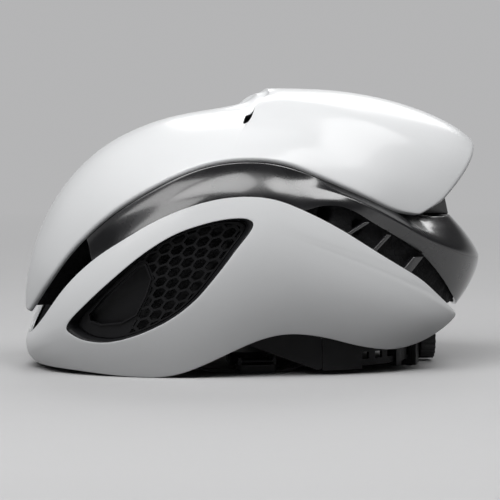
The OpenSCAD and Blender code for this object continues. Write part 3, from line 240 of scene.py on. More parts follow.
RAISE = [(0.6, 1), (0.7, 0.95), (0.79, 0.93), (0.88, 0.86), (0.95, 0.5), (1, 0)]
RAISE_WIDTH = [(0.6, 54), (0.7, 58), (0.79, 64), (0.88, 66), (1, 62)]
# Share of that width from which the raise falls off sideways
RAISE_SIDE = 0.68
# Angle that the shell's cross-section spans to each side, and half its width as a share of half the helmet's
SPREAD = 60
UPPER_HALF = 0.775
# How much squarer the tail is than the rest, and from where
TAIL_SQUARE, TAIL_FROM = 0.3, 0.75
# How much the tail's two corners are rounded, up to 0.5, and where they start, along and across
TAIL_ROUND = 0.42
CORNER_ROW, CORNER_COL = 0.93, 0.8
# Where the step is, and how far along the upper shell its face reaches
STEP_AT, STEP_LENGTH = 0.6, 0.01
# Between these places the rows bend to follow the step
BENT_FROM, BENT_UNTIL = 0.45, 0.72
# Width of the ramp's slanted sides
RAMP_SIDE = 4
# Share of the raise up the centre ramp over the distance along, and how the step runs across the shell, over the
# distance from the middle: the front skin's edge, and the raised part's lip
RAMP_RISE = [(-22, 0), (-9, 0.125), (-1, 0.42), (3, 0.8), (7, 1)]
SKIN_AT = [(0, 0.6), (12, 0.6), (33, 0.583), (56, 0.583), (78, 0.583)]
LIP_AT = [(0, 0.62), (20, 0.622), (30, 0.617), (38, 0.604), (42, 0.6), (46, 0.597), (49, 0.593), (52, 0.588),
          (56, 0.587), (78, 0.587)]
# How much the lip dips beside the ramp, and where that ends, along and across
LIP_DIP = 0.1
DIP_ALONG, DIP_ACROSS = (0.62, 0.645), (28, 36)
# How far the step's columns shift outwards from the front skin up to the lip, and where behind it that ends
SLANT = [(0, 0), (20, 0), (34, 8), (42, 5), (49, 0), (78, 0)]
SLANT_UNTIL = 0.66


class Surfaces:
    """Formulas of the helmet's surfaces for given sizes. Points are in millimetres."""

    def __init__(self, shape):
        self.hx = shape.length / MM / 2
        self.hy = shape.width / MM / 2
        self.zs = shape.height / MM / DRAWN_HEIGHT
        self.scoop = shape.scoop / MM
        self.ramp = shape.ramp / MM
        self.inlet_end = shape.inlet_end / MM
        self.wall = shape.wall / MM
        self.hem = shape.hem / MM

    def plan(self, th):
        a = math.radians(th)
        return Vector((-self.hx * math.cos(a), -self.hy * math.copysign(abs(math.sin(a)) ** PLAN, math.sin(a))))

    def belt(self, th, inwards, z):
        p, d = self.plan(th), self.plan(th + 0.5) - self.plan(th - 0.5)
        n = Vector((d.y, -d.x)).normalized()
        return Vector((p.x - n.x * inwards, p.y - n.y * inwards, z))

    def low_z(self, th):
        return self.zs * max(curve(LOW_EDGE, th), 0)

    def top_z(self, th):
        return self.zs * curve(TOP_EDGE, th)

    def lower(self, th, z, inwards=0):
        """Point of the lower shell's surface on the left side."""
        a, b = self.low_z(th), self.top_z(th)
        v = min(max((z - a) / (b - a), 0), 1)
        tuck = curve(BULGE, th) + curve(TUCK_LOW, th) * (1 - v) ** LOW_LATE + curve(TUCK_TOP, th) * v ** TOP_LATE
        return self.belt(th, tuck + inwards, z)

    def leaf(self, ray):
        p = curve(LEAF, ray)
        return Vector((p[0], self.zs * p[1]))

    def leaf_middle(self):
        return Vector((LEAF_MIDDLE[0], self.zs * LEAF_MIDDLE[1]))

    def lower_ray(self, ray, shrink, share, depth):
        """Point on a ray of the leaf, drawn towards its middle, or a share of the way out to the shell's edge."""
        th, v = straight(RIM_ANGLE, ray), straight(RIM_HEIGHT, ray)
        rim = Vector((th, mix(self.low_z(th), self.top_z(th), v)))
        p = mix(mix(self.leaf(ray), self.leaf_middle(), shrink), rim, share)
        return self.lower(p[0], p[1], depth)

    def band(self, u, t, side):
        """Point of the middle band: u from its front end to the tail, t from its lower to its upper edge."""
        f = mix(BAND_START - BAND_SLANT * t, 180, u)
        hollow = 1 + HOLLOW * step(HOLLOW_FROM, HOLLOW_UNTIL, f)
        if t < 1:
            z = mix(curve(BAND_LOW, f), curve(BAND_CREASE, f), t)
            inwards = mix(curve(BAND_CREASE_IN, f), curve(BAND_LOW_IN, f), (1 - t) ** (hollow + HOLLOW))
        else:
            z = mix(curve(BAND_CREASE, f), curve(BAND_TOP, f), t - 1)
            inwards = mix(curve(BAND_CREASE_IN, f), curve(BAND_TOP_IN, f), (t - 1) ** hollow)
        if f < CREASED_FROM:
            lip, lip_in = curve(BAND_LIP, f), curve(BAND_LIP_IN, f)
            if t < LIP_SHARE:
                v = t / LIP_SHARE
                round_z = mix(curve(BAND_LOW, f), lip, v)
                round_in = mix(curve(BAND_LOW_IN, f), lip_in, mix(v, step(0.1, 0.95, v), BAND_ROUND))
            else:
                v = (t - LIP_SHARE) / (2 - LIP_SHARE)
                round_z, round_in = mix(lip, curve(BAND_TOP, f), v), mix(lip_in, curve(BAND_TOP_IN, f), v)
            creased = step(ROUND_UNTIL, CREASED_FROM, f)
            z, inwards = mix(round_z, z, creased), mix(round_in, inwards, creased)
        return self.belt(f if side < 0 else 360 - f, inwards, self.zs * z)

    def upper_base(self, s, t):
        """Upper shell without its raised rear: s from nose to tail, t from -1 on the left to 1 on the right."""
        a = math.radians(SPREAD * abs(t))
        spread = math.radians(SPREAD)
        k = (1 - math.cos(a)) / (1 - math.cos(spread))
        c, e = curve(CROWN, s), curve(SIDE, s)
        return Vector((mix(c.x, e.x, k ** (1 + TAIL_SQUARE * step(TAIL_FROM, 1, s))) * self.hx / DRAWN_HX,
                       e.y * math.copysign(1, -t) * math.sin(a) / math.sin(spread) * self.hy / DRAWN_HY,
                       mix(c.z, e.z, k) * self.zs))

    def upper_normal(self, s, t):
        a, b = max(s - 0.01, 0), min(s + 0.01, 1)
        along = self.upper_base(b, t) - self.upper_base(a, t)
        across = self.upper_base(s, t + 0.02) - self.upper_base(s, t - 0.02)
        return along.cross(across).normalized()

    def raised(self, s, p, behind):
        """How far the ramp, or the raised rear behind the step, stands above the shell's base."""
        y, ramp = abs(p.y), curve(RAMP_RISE, min(max(p.x, RAMP_RISE[0][0]), RAMP_RISE[-1][0]))
        off = step(self.ramp, self.ramp + RAMP_SIDE, y)
        if not behind:
            return self.scoop * ramp * (1 - off)
        dip = LIP_DIP * off * (1 - step(*DIP_ALONG, s)) * (1 - step(*DIP_ACROSS, y))
        s = max(s, STEP_AT)
        side = 1 - step(RAISE_SIDE, 1, y / curve(RAISE_WIDTH, s))
        return self.scoop * (curve(RAISE, s) - dip) * side * mix(ramp, 1, off)

    def bent(self, s, t, behind):
        """Where a row beside the step comes to lie as it follows the step."""
        y = self.hy * UPPER_HALF * math.sin(math.radians(SPREAD * abs(t))) / math.sin(math.radians(SPREAD))
        if behind:
            lip = STEP_AT + STEP_LENGTH
            return s - (lip - curve(LIP_AT, y)) * (1 - step(lip, BENT_UNTIL, s))
        return s - (STEP_AT - curve(SKIN_AT, y)) * step(BENT_FROM, STEP_AT, s)

    def upper(self, row, t, inwards=0, behind=False):
        u, v = max(row - CORNER_ROW, 0) / (1 - CORNER_ROW), max(abs(t) - CORNER_COL, 0) / (1 - CORNER_COL)
        if u and v:
            # Both measures shrink towards a corner of the tail, which rounds it
            row = mix(CORNER_ROW, 1, u * math.sqrt(1 - v * v * TAIL_ROUND))
            t = math.copysign(mix(CORNER_COL, 1, v * math.sqrt(1 - u * u * TAIL_ROUND)), t)
        s = self.bent(row, t, behind)
        p = self.upper_base(s, t)
        return p - self.upper_normal(s, t) * inwards + Vector((0, 0, self.raised(s, p, behind)))

    def upper_t(self, y):
        """How far across the upper shell a distance from the middle lies, at the step."""
        ratio = min(y / (self.hy * UPPER_HALF) * math.sin(math.radians(SPREAD)), 1)
        return math.degrees(math.asin(ratio)) / SPREAD


# ---------------------------------------------------------------- mesh work

def linked(name, data):
    """A new object in the scene."""
    obj = bpy.data.objects.new(name, data)
    bpy.context.scene.collection.objects.link(obj)
    return obj


def shade_smooth(mesh, smooth=True):
    mesh.polygons.foreach_set("use_smooth", [smooth] * len(mesh.polygons))


def object_of(bm, name, smooth=True):
    mesh = bpy.data.meshes.new(name)
    bm.to_mesh(mesh)
    bm.free()
    shade_smooth(mesh, smooth)
    return linked(name, mesh)


def flat_grid(rows, cols):
    """A flat grid of quads, and the rule that gives the row and column of one of its corners."""
    bm = bmesh.new()
    bmesh.ops.create_grid(bm, x_segments=cols - 1, y_segments=rows - 1, size=0.5)
    return bm, lambda v: (round((v.co.y + 0.5) * (rows - 1)), round((v.co.x + 0.5) * (cols - 1)))


def sheet_of(rows, cols, place, gap=None, paint=None):
    """A grid of quads whose corners a rule of row and column places. gap(row, col) leaves a quad out, and
    paint(row, col) gives it the second finish."""
    bm, index = flat_grid(rows, cols)

    def first_corner(f):
        return map(min, zip(*map(index, f.verts)))

    if gap:
        out = [f for f in bm.faces if gap(*first_corner(f))]
        bmesh.ops.delete(bm, geom=out, context="FACES")
    if paint:
        for f in bm.faces:
            f.material_index = int(paint(*first_corner(f)))
    for v in bm.verts:
        v.co = place(*index(v)) * MM
    bmesh.ops.remove_doubles(bm, verts=bm.verts, dist=MERGE)
    return bm


def mirror_across(bm):
    """Adds the right side to a left one."""
    bmesh.ops.mirror(bm, geom=bm.verts[:] + bm.edges[:] + bm.faces[:], axis="Y", merge_dist=MERGE)


def face_outwards(bm):
    """Turns an open sheet's faces away from the heart."""
    bmesh.ops.recalc_face_normals(bm, faces=bm.faces)
    if sum(f.normal.dot(f.calc_center_median() - HEART) * f.calc_area() for f in bm.faces) < 0:
        bmesh.ops.reverse_faces(bm, faces=bm.faces)


def refine(obj, levels):
    m = obj.modifiers.new("Smooth surface", "SUBSURF")
    m.levels = m.render_levels = levels


def thicken(obj, wall, even_wall=True, dark_edge=0):
    """Gives a sheet its wall, whose inner side takes the object's second finish, and its edge too on request."""
    m = obj.modifiers.new("Wall", "SOLIDIFY")
    m.thickness, m.offset, m.use_even_offset, m.use_quality_normals = wall, -1, even_wall, True
    m.material_offset, m.material_offset_rim = 1, dark_edge


def round_edges(obj, width, segments=2, limit=40):
    m = obj.modifiers.new("Round edges", "BEVEL")
    m.width, m.segments, m.limit_method, m.angle_limit = width, segments, "ANGLE", math.radians(limit)
    m.use_clamp_overlap = True


def even_cells(obj, cell):
    m = obj.modifiers.new("Even cells", "REMESH")
    m.mode, m.voxel_size, m.use_smooth_shade = "VOXEL", cell, True


def level_normals(obj):
    m = obj.modifiers.new("Level normals", "WEIGHTED_NORMAL")
    m.mode, m.weight, m.keep_sharp = "FACE_AREA_WITH_ANGLE", 60, False


def copy_of(node, name):
    """A merged copy of a CAD node's mesh."""
    bm = bmesh.new()
    bm.from_mesh(frame["nodes"][node].data)
    bmesh.ops.remove_doubles(bm, verts=bm.verts, dist=MERGE)
    return object_of(bm, name)


def apply_modifiers(obj):
    """Turns what the modifiers show into the object's own mesh."""
    view = bpy.context.evaluated_depsgraph_get()
    mesh = bpy.data.meshes.new_from_object(obj.evaluated_get(view))
    obj.modifiers.clear()
    obj.data = mesh


def complete(obj, body, slot, *nodes, inner=None):
    """Finish, body and replaced CAD nodes of a piece. The inner side may have a finish of its own."""
    for finish in [slot] + ([inner] if inner else []):
        obj.data.materials.append(finish_of(finish))
    if nodes:
        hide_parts(*nodes)
    if body:
        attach(obj, body)
    return obj


# ---------------------------------------------------------------- finishes

class Nodes:
    """Adds nodes to a tree and links them."""

    def __init__(self, tree):
        self.tree = tree

    def node(self, kind, inputs=None, **settings):
        n = self.tree.nodes.new("ShaderNode" + kind)
        for key, value in settings.items():
            setattr(n, key, value)
        for key, value in (inputs or {}).items():
            self.feed(n, key, value)
        return n

    def feed(self, n, key, value):
        if isinstance(value, bpy.types.NodeSocket):
            self.tree.links.new(value, n.inputs[key])
        else:
            n.inputs[key].default_value = value

    def spread(self, value, low, high, start=0, end=1):
        """A value's range from start to end, mapped to low to high."""
        return self.node("MapRange", {"Value": value, "From Min": start, "From Max": end, "To Min": low,
                                      "To Max": high}).outputs["Result"]

    def maths(self, kind, a, b=0):
        return self.node("Math", {0: a, 1: b}, operation=kind).outputs[0]

    def tint(self, factor, dark, light):
        return self.node("Mix", {0: factor, 6: (*dark, 1), 7: (*light, 1)}, data_type="RGBA").outputs[2]

    def seen(self):
        """1 for rays that show the surroundings, straight, mirrored or refracted, and 0 for those that light."""
        path = self.node("LightPath").outputs
        shown = self.maths("MAXIMUM", path["Is Camera Ray"], path["Is Glossy Ray"])
        return self.maths("MAXIMUM", shown, path["Is Transmission Ray"])


class Finish(Nodes):
    """A node material on the standard surface shader."""

    def __init__(self, name):
        self.material = bpy.data.materials.new(name)
        self.material.use_nodes = True
        super().__init__(self.material.node_tree)
        self.surface = self.tree.nodes["Principled BSDF"]
        self.where = self.node("TexCoord").outputs

    def shade(self, **inputs):
        for key, value in inputs.items():
            self.feed(self.surface, key.replace("_", " ").title().replace("Ior", "IOR"), value)

    def noise(self, scale, detail=2, coords=None):
        return self.node("TexNoise", {"Vector": coords or self.where["Object"], "Scale": scale,
                                      "Detail": detail}).outputs["Fac"]

    def relief(self, height, distance, strength=1):
        bump = self.node("Bump", {"Height": height, "Distance": distance, "Strength": strength})
        self.shade(normal=bump.outputs["Normal"])


def times(colour, factor):
    return tuple(min(c * factor, 1) for c in colour)


def white_gloss(f, colours):
    colour = colours.white
    drift = f.noise(18, 3)
    f.shade(base_color=f.tint(f.spread(drift, 0, 1, 0.1, 0.9), times(colour, 0.985), colour),
            roughness=f.spread(f.noise(9, 2), 0.3, 0.38, 0.2, 0.8))
    f.shade(specular_ior_level=0.35, coat_weight=0.3, coat_roughness=0.14)
    f.relief(f.noise(650, 1), 0.00003, 0.2)


def black_gloss(f, colours):
    colour = colours.gloss_black
    haze = f.spread(f.noise(34, 4), 0, 1, 0.35, 0.7)
    f.shade(base_color=f.tint(haze, colour, times(colour, 1.5)), roughness=f.spread(haze, 0.2, 0.3))
    f.shade(specular_ior_level=0.8, coat_weight=0.9, coat_roughness=0.12)
    f.relief(f.noise(900, 2), 0.00004, 0.3)


def black_matte(f, colours):
    colour = colours.matte_black
    grain = f.noise(2600, 2)
    f.shade(base_color=f.tint(f.noise(60, 3), times(colour, 0.75), times(colour, 1.35)),
            roughness=f.spread(f.noise(220, 3), 0.34, 0.5, 0.3, 0.7))
    f.shade(specular_ior_level=0.16)
    f.relief(grain, 0.00008, 0.5)


def foam(f, colours):
    colour = colours.foam
    cells = {"Vector": f.where["Object"], "Scale": 330.0}
    beads = f.node("TexVoronoi", cells, feature="F1")
    edge = f.node("TexVoronoi", cells, feature="DISTANCE_TO_EDGE").outputs["Distance"]
    f.shade(base_color=f.tint(f.spread(beads.outputs["Color"], 0, 1), times(colour, 0.7), times(colour, 1.4)),
            roughness=f.spread(edge, 0.8, 0.65, 0, 0.3))
    f.shade(specular_ior_level=0.2)
    f.relief(f.spread(edge, 0, 1, 0, 0.18), 0.00025, 0.8)


def pad_fabric(f, colours):
    colour = colours.fabric
    stitch = f.node("TexVoronoi", {"Vector": f.where["Object"], "Scale": 900.0, "Randomness": 0.35},
                    feature="F1").outputs["Distance"]
    f.shade(base_color=f.tint(f.spread(stitch, 1, 0, 0.1, 0.7), times(colour, 0.55), times(colour, 1.5)),
            roughness=f.spread(f.noise(300, 3), 0.82, 0.96))
    f.shade(sheen_weight=0.35, sheen_roughness=0.4)
    f.relief(f.spread(stitch, 1, 0, 0, 0.8), 0.00035, 0.9)


# Pitches of the webbing's ribs and of its weft, in millimetres
RIB_PITCH, WEFT_PITCH = 1.9, 0.9


def webbing(f, colours):
    """Twill: ribs along the strap, crossed by the weft. The map is in millimetres."""
    colour = colours.webbing
    u, v = f.node("SeparateXYZ", {0: f.where["UV"]}).outputs[:2]
    ribs = f.maths("SINE", f.maths("MULTIPLY", u, math.tau / RIB_PITCH))
    weft = f.maths("ADD", v, f.maths("PINGPONG", u, RIB_PITCH / 2))
    twill = f.maths("SINE", f.maths("MULTIPLY", weft, math.tau / WEFT_PITCH))
    yarn = f.maths("ADD", f.maths("MULTIPLY", ribs, 0.5), f.maths("MULTIPLY", twill, 0.5))
    f.shade(base_color=f.tint(f.spread(yarn, 0, 1, -1, 1), times(colour, 0.5), times(colour, 1.8)),
            roughness=f.spread(f.noise(500, 2), 0.7, 0.88))
    f.shade(sheen_weight=0.25, sheen_roughness=0.35)
    f.relief(yarn, 0.00018, 0.8)


def dial_rubber(f, colours):
    colour = times(colours.matte_black, 1.1)
    f.shade(base_color=f.tint(f.noise(90, 3), times(colour, 0.8), times(colour, 1.3)),
            roughness=f.spread(f.noise(350, 2), 0.5, 0.68))
    f.relief(f.noise(3200, 1), 0.00006, 0.5)


def steel(f, colours):
    colour = colours.steel
    drawn = f.node("Mapping", {"Vector": f.where["Object"], "Scale": (400.0, 4000.0, 4000.0)})
    brushed = f.noise(1.0, 2, drawn.outputs["Vector"])
    f.shade(base_color=f.tint(brushed, times(colour, 0.8), colour), roughness=f.spread(brushed, 0.22, 0.4))
    f.shade(metallic=1.0)
    f.relief(brushed, 0.00002, 0.4)


FINISHES = {"white_gloss": white_gloss, "black_gloss": black_gloss, "black_matte": black_matte, "foam": foam,
            "pad_fabric": pad_fabric, "webbing": webbing, "dial_rubber": dial_rubber, "steel": steel}


def finish_of(slot):
    """The slot's material, made at its first use."""
    name = "finish_" + slot
    if name not in bpy.data.materials:
        FINISHES[slot](Finish(name), bpy.context.scene.helmet_finish)
    return bpy.data.materials[name]


# ---------------------------------------------------------------- upper shell

# Angles through a turned edge, from the surface to its end
HEM_TURNS = [0, 22, 45, 68, 90]
# Distances from the middle of the upper shell's lengthwise edge lines, at the step
UPPER_LINES = [0, 4, 8, 11, 13, 14, 15.5, 17, 18, 19, 23, 29, 34, 37.5, 41.5, 45.5, 48.3, 50, 52, 56, 61, 66, 70.5]
UPPER_FRONT = even(0.035, 0.53, 15) + [0.552, 0.57, 0.583, 0.592]
UPPER_REAR = [0.6125, 0.619, 0.63, 0.65] + even(0.675, 0.965, 9)
# The step's face, as shares of its height, the two between which the inlets open, and where an inlet starts
STEP_FACE = [0, 0.04, 0.35, 0.65, 0.86, 0.96, 1]
INLET_BELOW, INLET_ABOVE = 0.04, 0.96
INLET_START = 34
# How hollow the step's face is, 1 being straight
STEP_HOLLOW = 2.3
# Stretch along the shell over which its speed is measured at an end
NEAR = 0.02
# The lines are drawn inwards where the turned edge leaves them less than this share of the way across
FULL_ROOM = 0.93
# Subdivisions of a shell
SMOOTH = 2
# Width of the upper shell's rounded edges, and width, segments and limit angle of those of the other shells
HEM_EDGE, RIM_EDGE = 0.0004, (0.0007, 3, 50)


def upper_shell(surfaces):
    """The upper shell as one sheet with a turned edge all round and an inlet on each side of the ramp."""
    hem = surfaces.hem
    turns = [math.radians(a) for a in HEM_TURNS]
    rows = [("nose", a) for a in reversed(turns)] + [("front", s) for s in UPPER_FRONT]
    rows += [("step", share) for share in STEP_FACE] + [("rear", s) for s in UPPER_REAR]
    rows += [("tail", a) for a in turns]
    half = [("line", y) for y in UPPER_LINES] + [("edge", a) for a in turns]
    cols = [(-1, *c) for c in reversed(half)] + [(1, *c) for c in half[1:]]

    def reach(s):
        """Length across from the crown to the edge."""
        points = [surfaces.upper_base(s, i / 8) for i in range(9)]
        return sum((b - a).length for a, b in zip(points, points[1:]))

    def place(row, col):
        kind, value = rows[row]
        side, across, amount = cols[col]
        rough = side * (surfaces.upper_t(amount) if across == "line" else 1)
        turn_s = 0
        if kind in ("nose", "tail"):
            end, near = (0, NEAR) if kind == "nose" else (1, 1 - NEAR)
            speed = (surfaces.upper_base(near, rough) - surfaces.upper_base(end, rough)).length / NEAR
            back = hem * (1 - math.sin(value)) / speed
            s, turn_s = (back if kind == "nose" else 1 - back), value
        elif kind == "step":
            s = STEP_AT + STEP_LENGTH * value
        else:
            s = value
        room = 1 - hem / reach(s)
        if across == "line":
            behind_step = 1 - step(STEP_AT + STEP_LENGTH, SLANT_UNTIL, s)
            slant = {"step": value, "rear": behind_step}.get(kind, 0)
            t = side * surfaces.upper_t(amount + curve(SLANT, amount) * slant) * min(room / FULL_ROOM, 1)
            turn_t = 0
        else:
            t, turn_t = side * (1 - (1 - room) * (1 - math.sin(amount))), amount
        inwards = hem * (1 - math.cos(turn_s) * math.cos(turn_t))
        if kind != "step":
            return surfaces.upper(s, t, inwards, kind in ("rear", "tail"))
        foot = surfaces.upper(STEP_AT, t, inwards)
        lip = surfaces.upper(STEP_AT + STEP_LENGTH, t, inwards, True)
        return Vector((*mix(foot, lip, value).xy, mix(foot.z, lip.z, value ** STEP_HOLLOW)))

    low, high = rows.index(("step", INLET_BELOW)), rows.index(("step", INLET_ABOVE))

    def gap(row, col):
        return low <= row < high and all(across == "line" and INLET_START <= amount <= surfaces.inlet_end
                                         for _, across, amount in (cols[col], cols[col + 1]))

    bm = sheet_of(len(rows), len(cols), place, gap)
    face_outwards(bm)
    obj = object_of(bm, "upper_shell_skin")
    refine(obj, SMOOTH)
    # The inner side is black as the shell's unpainted inside. The edge faces are black too, as painted shade that
    # deepens the inlets and the gap under the shell's edge
    thicken(obj, surfaces.wall * MM, dark_edge=1)
    round_edges(obj, HEM_EDGE)
    return complete(obj, "helmet", "white_gloss", "upper_shell", inner="black_matte")


# ---------------------------------------------------------------- lower shell

# Rows from the vent's inner wall out to the shell's edge: drawn towards the leaf's middle, share of the way out,
# and depth
LOWER_ROWS = [(0.064, 0, 9), (0.06, 0, 6), (0.054, 0, 3.4), (0.043, 0, 1.7), (0.028, 0, 0.6), (0.01, 0, 0.1),
              (0, 0.02, 0), (0, 0.07, 0), (0, 0.18, 0), (0, 0.36, 0), (0, 0.56, 0), (0, 0.76, 0), (0, 0.91, 0),
              (0, 1, 0)]
LOWER_RAYS = even(0, 5, 14) + even(5, 8, 17)[1:] + even(8, 10, 26)[1:] + even(10, 18, 28)[1:]
# The vent's wall is black below this depth
DARK_BELOW = 0.3
# Points closer to the middle plane than this lie on it
ON_MIDDLE = 0.02 * MM


def lower_shell(surfaces):
    """The lower shell: rings of quads round the side vent, mirrored to the right side."""
    def place(row, col):
        shrink, share, depth = LOWER_ROWS[row]
        return surfaces.lower_ray(LOWER_RAYS[col], shrink, share, depth)

    bm = sheet_of(len(LOWER_ROWS), len(LOWER_RAYS), place, paint=lambda row, col: LOWER_ROWS[row][2] > DARK_BELOW)
    for v in bm.verts:
        if abs(v.co.y) < ON_MIDDLE:
            v.co.y = 0
    mirror_across(bm)
    bmesh.ops.remove_doubles(bm, verts=bm.verts, dist=MERGE)
    face_outwards(bm)
    obj = object_of(bm, "lower_shell_skin")
    refine(obj, SMOOTH)
    thicken(obj, surfaces.wall * MM, False)
    round_edges(obj, *RIM_EDGE)
    return complete(obj, "helmet", "white_gloss", "lower_shell", inner="black_matte")


# The ducts are black sheets that stand in for the shade inside the side vents, as painted shade
# Rows of the duct behind a side vent, from its mouth to the middle of its floor
DUCT_ROWS = [(0.066, 0, 8.6), (0.08, 0, 12), (0.12, 0, 14), (0.3, 0, 14.6), (0.7, 0, 15), (1, 0, 15)]
DUCT_WALL = 0.8


def vent_shade_ducts(surfaces):
    """Black ducts that close the side vents towards the foam, so that the grilles show black: painted shade in place
    of the shade inside the vents.
    """
    def place(row, col):
        return surfaces.lower_ray(LOWER_RAYS[col], *DUCT_ROWS[row])

    bm = sheet_of(len(DUCT_ROWS), len(LOWER_RAYS), place)
    mirror_across(bm)
    bmesh.ops.recalc_face_normals(bm, faces=bm.faces)
    obj = object_of(bm, "vent_shade_ducts")
    thicken(obj, DUCT_WALL * MM)
    return complete(obj, "helmet", "black_matte")


# ---------------------------------------------------------------- middle band

# Rows from the band's lower to its upper edge, and steps from its front end to the tail
BAND_ROWS = [0, 0.12, 0.35, 0.6, 0.8, 0.95, 1.05, 1.2, 1.38, 1.6, 1.66, 1.7, 1.8, 2]
BAND_STEPS = [0, 0.008, 0.03] + even(0.06, 1, 34)


def middle_band(surfaces):
    """The polished band between the shells, from one front end round the tail to the other."""
    us = [(u, -1) for u in BAND_STEPS] + [(u, 1) for u in reversed(BAND_STEPS[:-1])]

    bm = sheet_of(len(BAND_ROWS), len(us), lambda row, col: surfaces.band(us[col][0], BAND_ROWS[row], us[col][1]))
    face_outwards(bm)
    obj = object_of(bm, "middle_band_skin")
    refine(obj, SMOOTH)
    thicken(obj, surfaces.wall * MM)
    round_edges(obj, *RIM_EDGE)
    return complete(obj, "helmet", "black_gloss", "mid_shell", inner="black_matte")


# ---------------------------------------------------------------- liner

def liner(node, cell):
    """The foam liner with its solid's edges softened, as moulded beads leave them."""
    obj = copy_of(node, node + "_liner")
    even_cells(obj, cell)
    m = obj.modifiers.new("Soften", "SMOOTH")
    m.factor, m.iterations = 0.5, 2
    return complete(obj, "helmet", "foam", node)


# ---------------------------------------------------------------- pads

# Size of a cover's cells, the pressure that fills it, for how many frames, and how far a point moves at most
COVER_CELL, FILL_PRESSURE, FILL_FRAMES, FILL_CAP = 0.0016, 3.0, 20, 0.0012


def inflate(obj):
    """Fills a cover by cloth simulation, no point moving further than the cap."""
    even_cells(obj, COVER_CELL)
    apply_modifiers(obj)
    rest = [v.co.copy() for v in obj.data.vertices]
    cloth = obj.modifiers.new("Fill", "CLOTH")
    cloth.settings.use_pressure = True
    cloth.settings.uniform_pressure_force = FILL_PRESSURE
    cloth.settings.effector_weights.gravity = 0
    cloth.settings.quality = 5
    cloth.point_cache.frame_start, cloth.point_cache.frame_end = 1, FILL_FRAMES
    for frame_number in range(1, FILL_FRAMES + 1):
        bpy.context.scene.frame_set(frame_number)
    apply_modifiers(obj)
    bpy.context.scene.frame_set(1)
    for v, was in zip(obj.data.vertices, rest):
        moved = v.co - was
        if moved.length > FILL_CAP:
            v.co = was + moved.normalized() * FILL_CAP
    shade_smooth(obj.data)


def pad(node, body):
    """A filled cover in place of a pad's solid."""
    obj = copy_of(node, node + "_cover")
    inflate(obj)
    refine(obj, 1)
    complete(obj, body, "pad_fabric", node)
    return obj


# ---------------------------------------------------------------- webbing

STRAP_WIDTH = 15
STRAP_THICKNESS = 1.2
# Height of a strap's middle where it lies on the resting surface
LIE = STRAP_THICKNESS / 2 + 0.4
DIVIDER_X, DIVIDER_Y, DIVIDER_LENGTH, DIVIDER_WIDTH = -4, 50, 26, 19
DIVIDER_IN = DIVIDER_Y - DIVIDER_WIDTH / 2
BUCKLE_END, BUCKLE_SLOT = 16, 3
# The middles of the straps on the left
ROUTES = {
    "front": [(-59.5, -68.4, 21), (-58.4, -65.2, 20.7), (-56, -62, 16), (-50, -59, 8.5), (-42, -55.5, 3.4),
              (-33, -52, 1.4), (-25, -50.3, LIE), (DIVIDER_X - DIVIDER_LENGTH / 2 - 2, -DIVIDER_Y, LIE),
              (DIVIDER_X - DIVIDER_LENGTH / 2 + 3, -DIVIDER_Y, LIE)],
    "rear": [(57.05, -56.2, 62), (55.3, -53.6, 61.5), (53, -51.8, 55), (49.5, -50.6, 43), (45, -50, 30),
             (38, -50, 18), (29, -50, 8), (20, -50, 2.4), (DIVIDER_X + DIVIDER_LENGTH / 2 + 2, -DIVIDER_Y, LIE),
             (DIVIDER_X + DIVIDER_LENGTH / 2 - 3, -DIVIDER_Y, LIE)],
    "chin": [(DIVIDER_X, 2.5 - DIVIDER_IN - 4.5, LIE), (DIVIDER_X, 1 - DIVIDER_IN, LIE), (DIVIDER_X, -35, 2),
             (DIVIDER_X, -29, 4.2), (DIVIDER_X, -22, 3.8), (DIVIDER_X, -BUCKLE_END - 0.5, BUCKLE_SLOT),
             (DIVIDER_X, -BUCKLE_END + 2.5, BUCKLE_SLOT)],
}
# Rings along each strap
STRAP_RINGS = {"front": 32, "rear": 40, "chin": 24}
# Corners of half a strap's section, as shares of half its width and half its thickness
STRAP_SECTION = [(-1, 0), (-0.985, 0.7), (-0.94, 1), (-0.5, 1), (0, 1), (0.5, 1), (0.94, 1), (0.985, 0.7)]


def strap(route, name, right):
    """A woven strap along a route, with its weave mapped in millimetres."""
    rings = STRAP_RINGS[route]
    knots = [(i, Vector(p)) for i, p in enumerate(ROUTES[route])]
    last = len(knots) - 1
    middle = [curve(knots, last * i / rings) for i in range(rings + 1)]
    section = STRAP_SECTION + [(-x, -z) for x, z in STRAP_SECTION]
    travel = [0.0]
    for a, b in zip(middle, middle[1:]):
        travel.append(travel[-1] + (b - a).length)
    steps = [0.0]
    for a, b in zip(section, section[1:] + section[:1]):
        steps.append(steps[-1] + math.hypot((b[0] - a[0]) * STRAP_WIDTH / 2, (b[1] - a[1]) * STRAP_THICKNESS / 2))
    bm, index = flat_grid(rings + 1, len(section) + 1)
    weave = bm.loops.layers.uv.new("weave")
    for loop in (l for f in bm.faces for l in f.loops):
        ring, col = index(loop.vert)
        loop[weave].uv = (steps[col], travel[ring])
    for v in bm.verts:
        ring, col = index(v)
        ahead = middle[min(ring + 1, rings)] - middle[max(ring - 1, 0)]
        across = ahead.cross(Vector((0, 0, 1)))
        across = across.normalized() if across.length > 0.01 else Vector((0, 1, 0))
        up = across.cross(ahead).normalized()
        x, z = section[col % len(section)]
        v.co = (middle[ring] + across * x * STRAP_WIDTH / 2 + up * z * STRAP_THICKNESS / 2) * MM
    bmesh.ops.remove_doubles(bm, verts=bm.verts, dist=MERGE)
    ends = [e for e in bm.edges if e.is_boundary]
    bmesh.ops.holes_fill(bm, edges=ends, sides=len(section))
    if right:
        bmesh.ops.scale(bm, vec=(1, -1, 1), verts=bm.verts)
    bmesh.ops.recalc_face_normals(bm, faces=bm.faces)
    return object_of(bm, name)


# ---------------------------------------------------------------- hardware kept from the frame

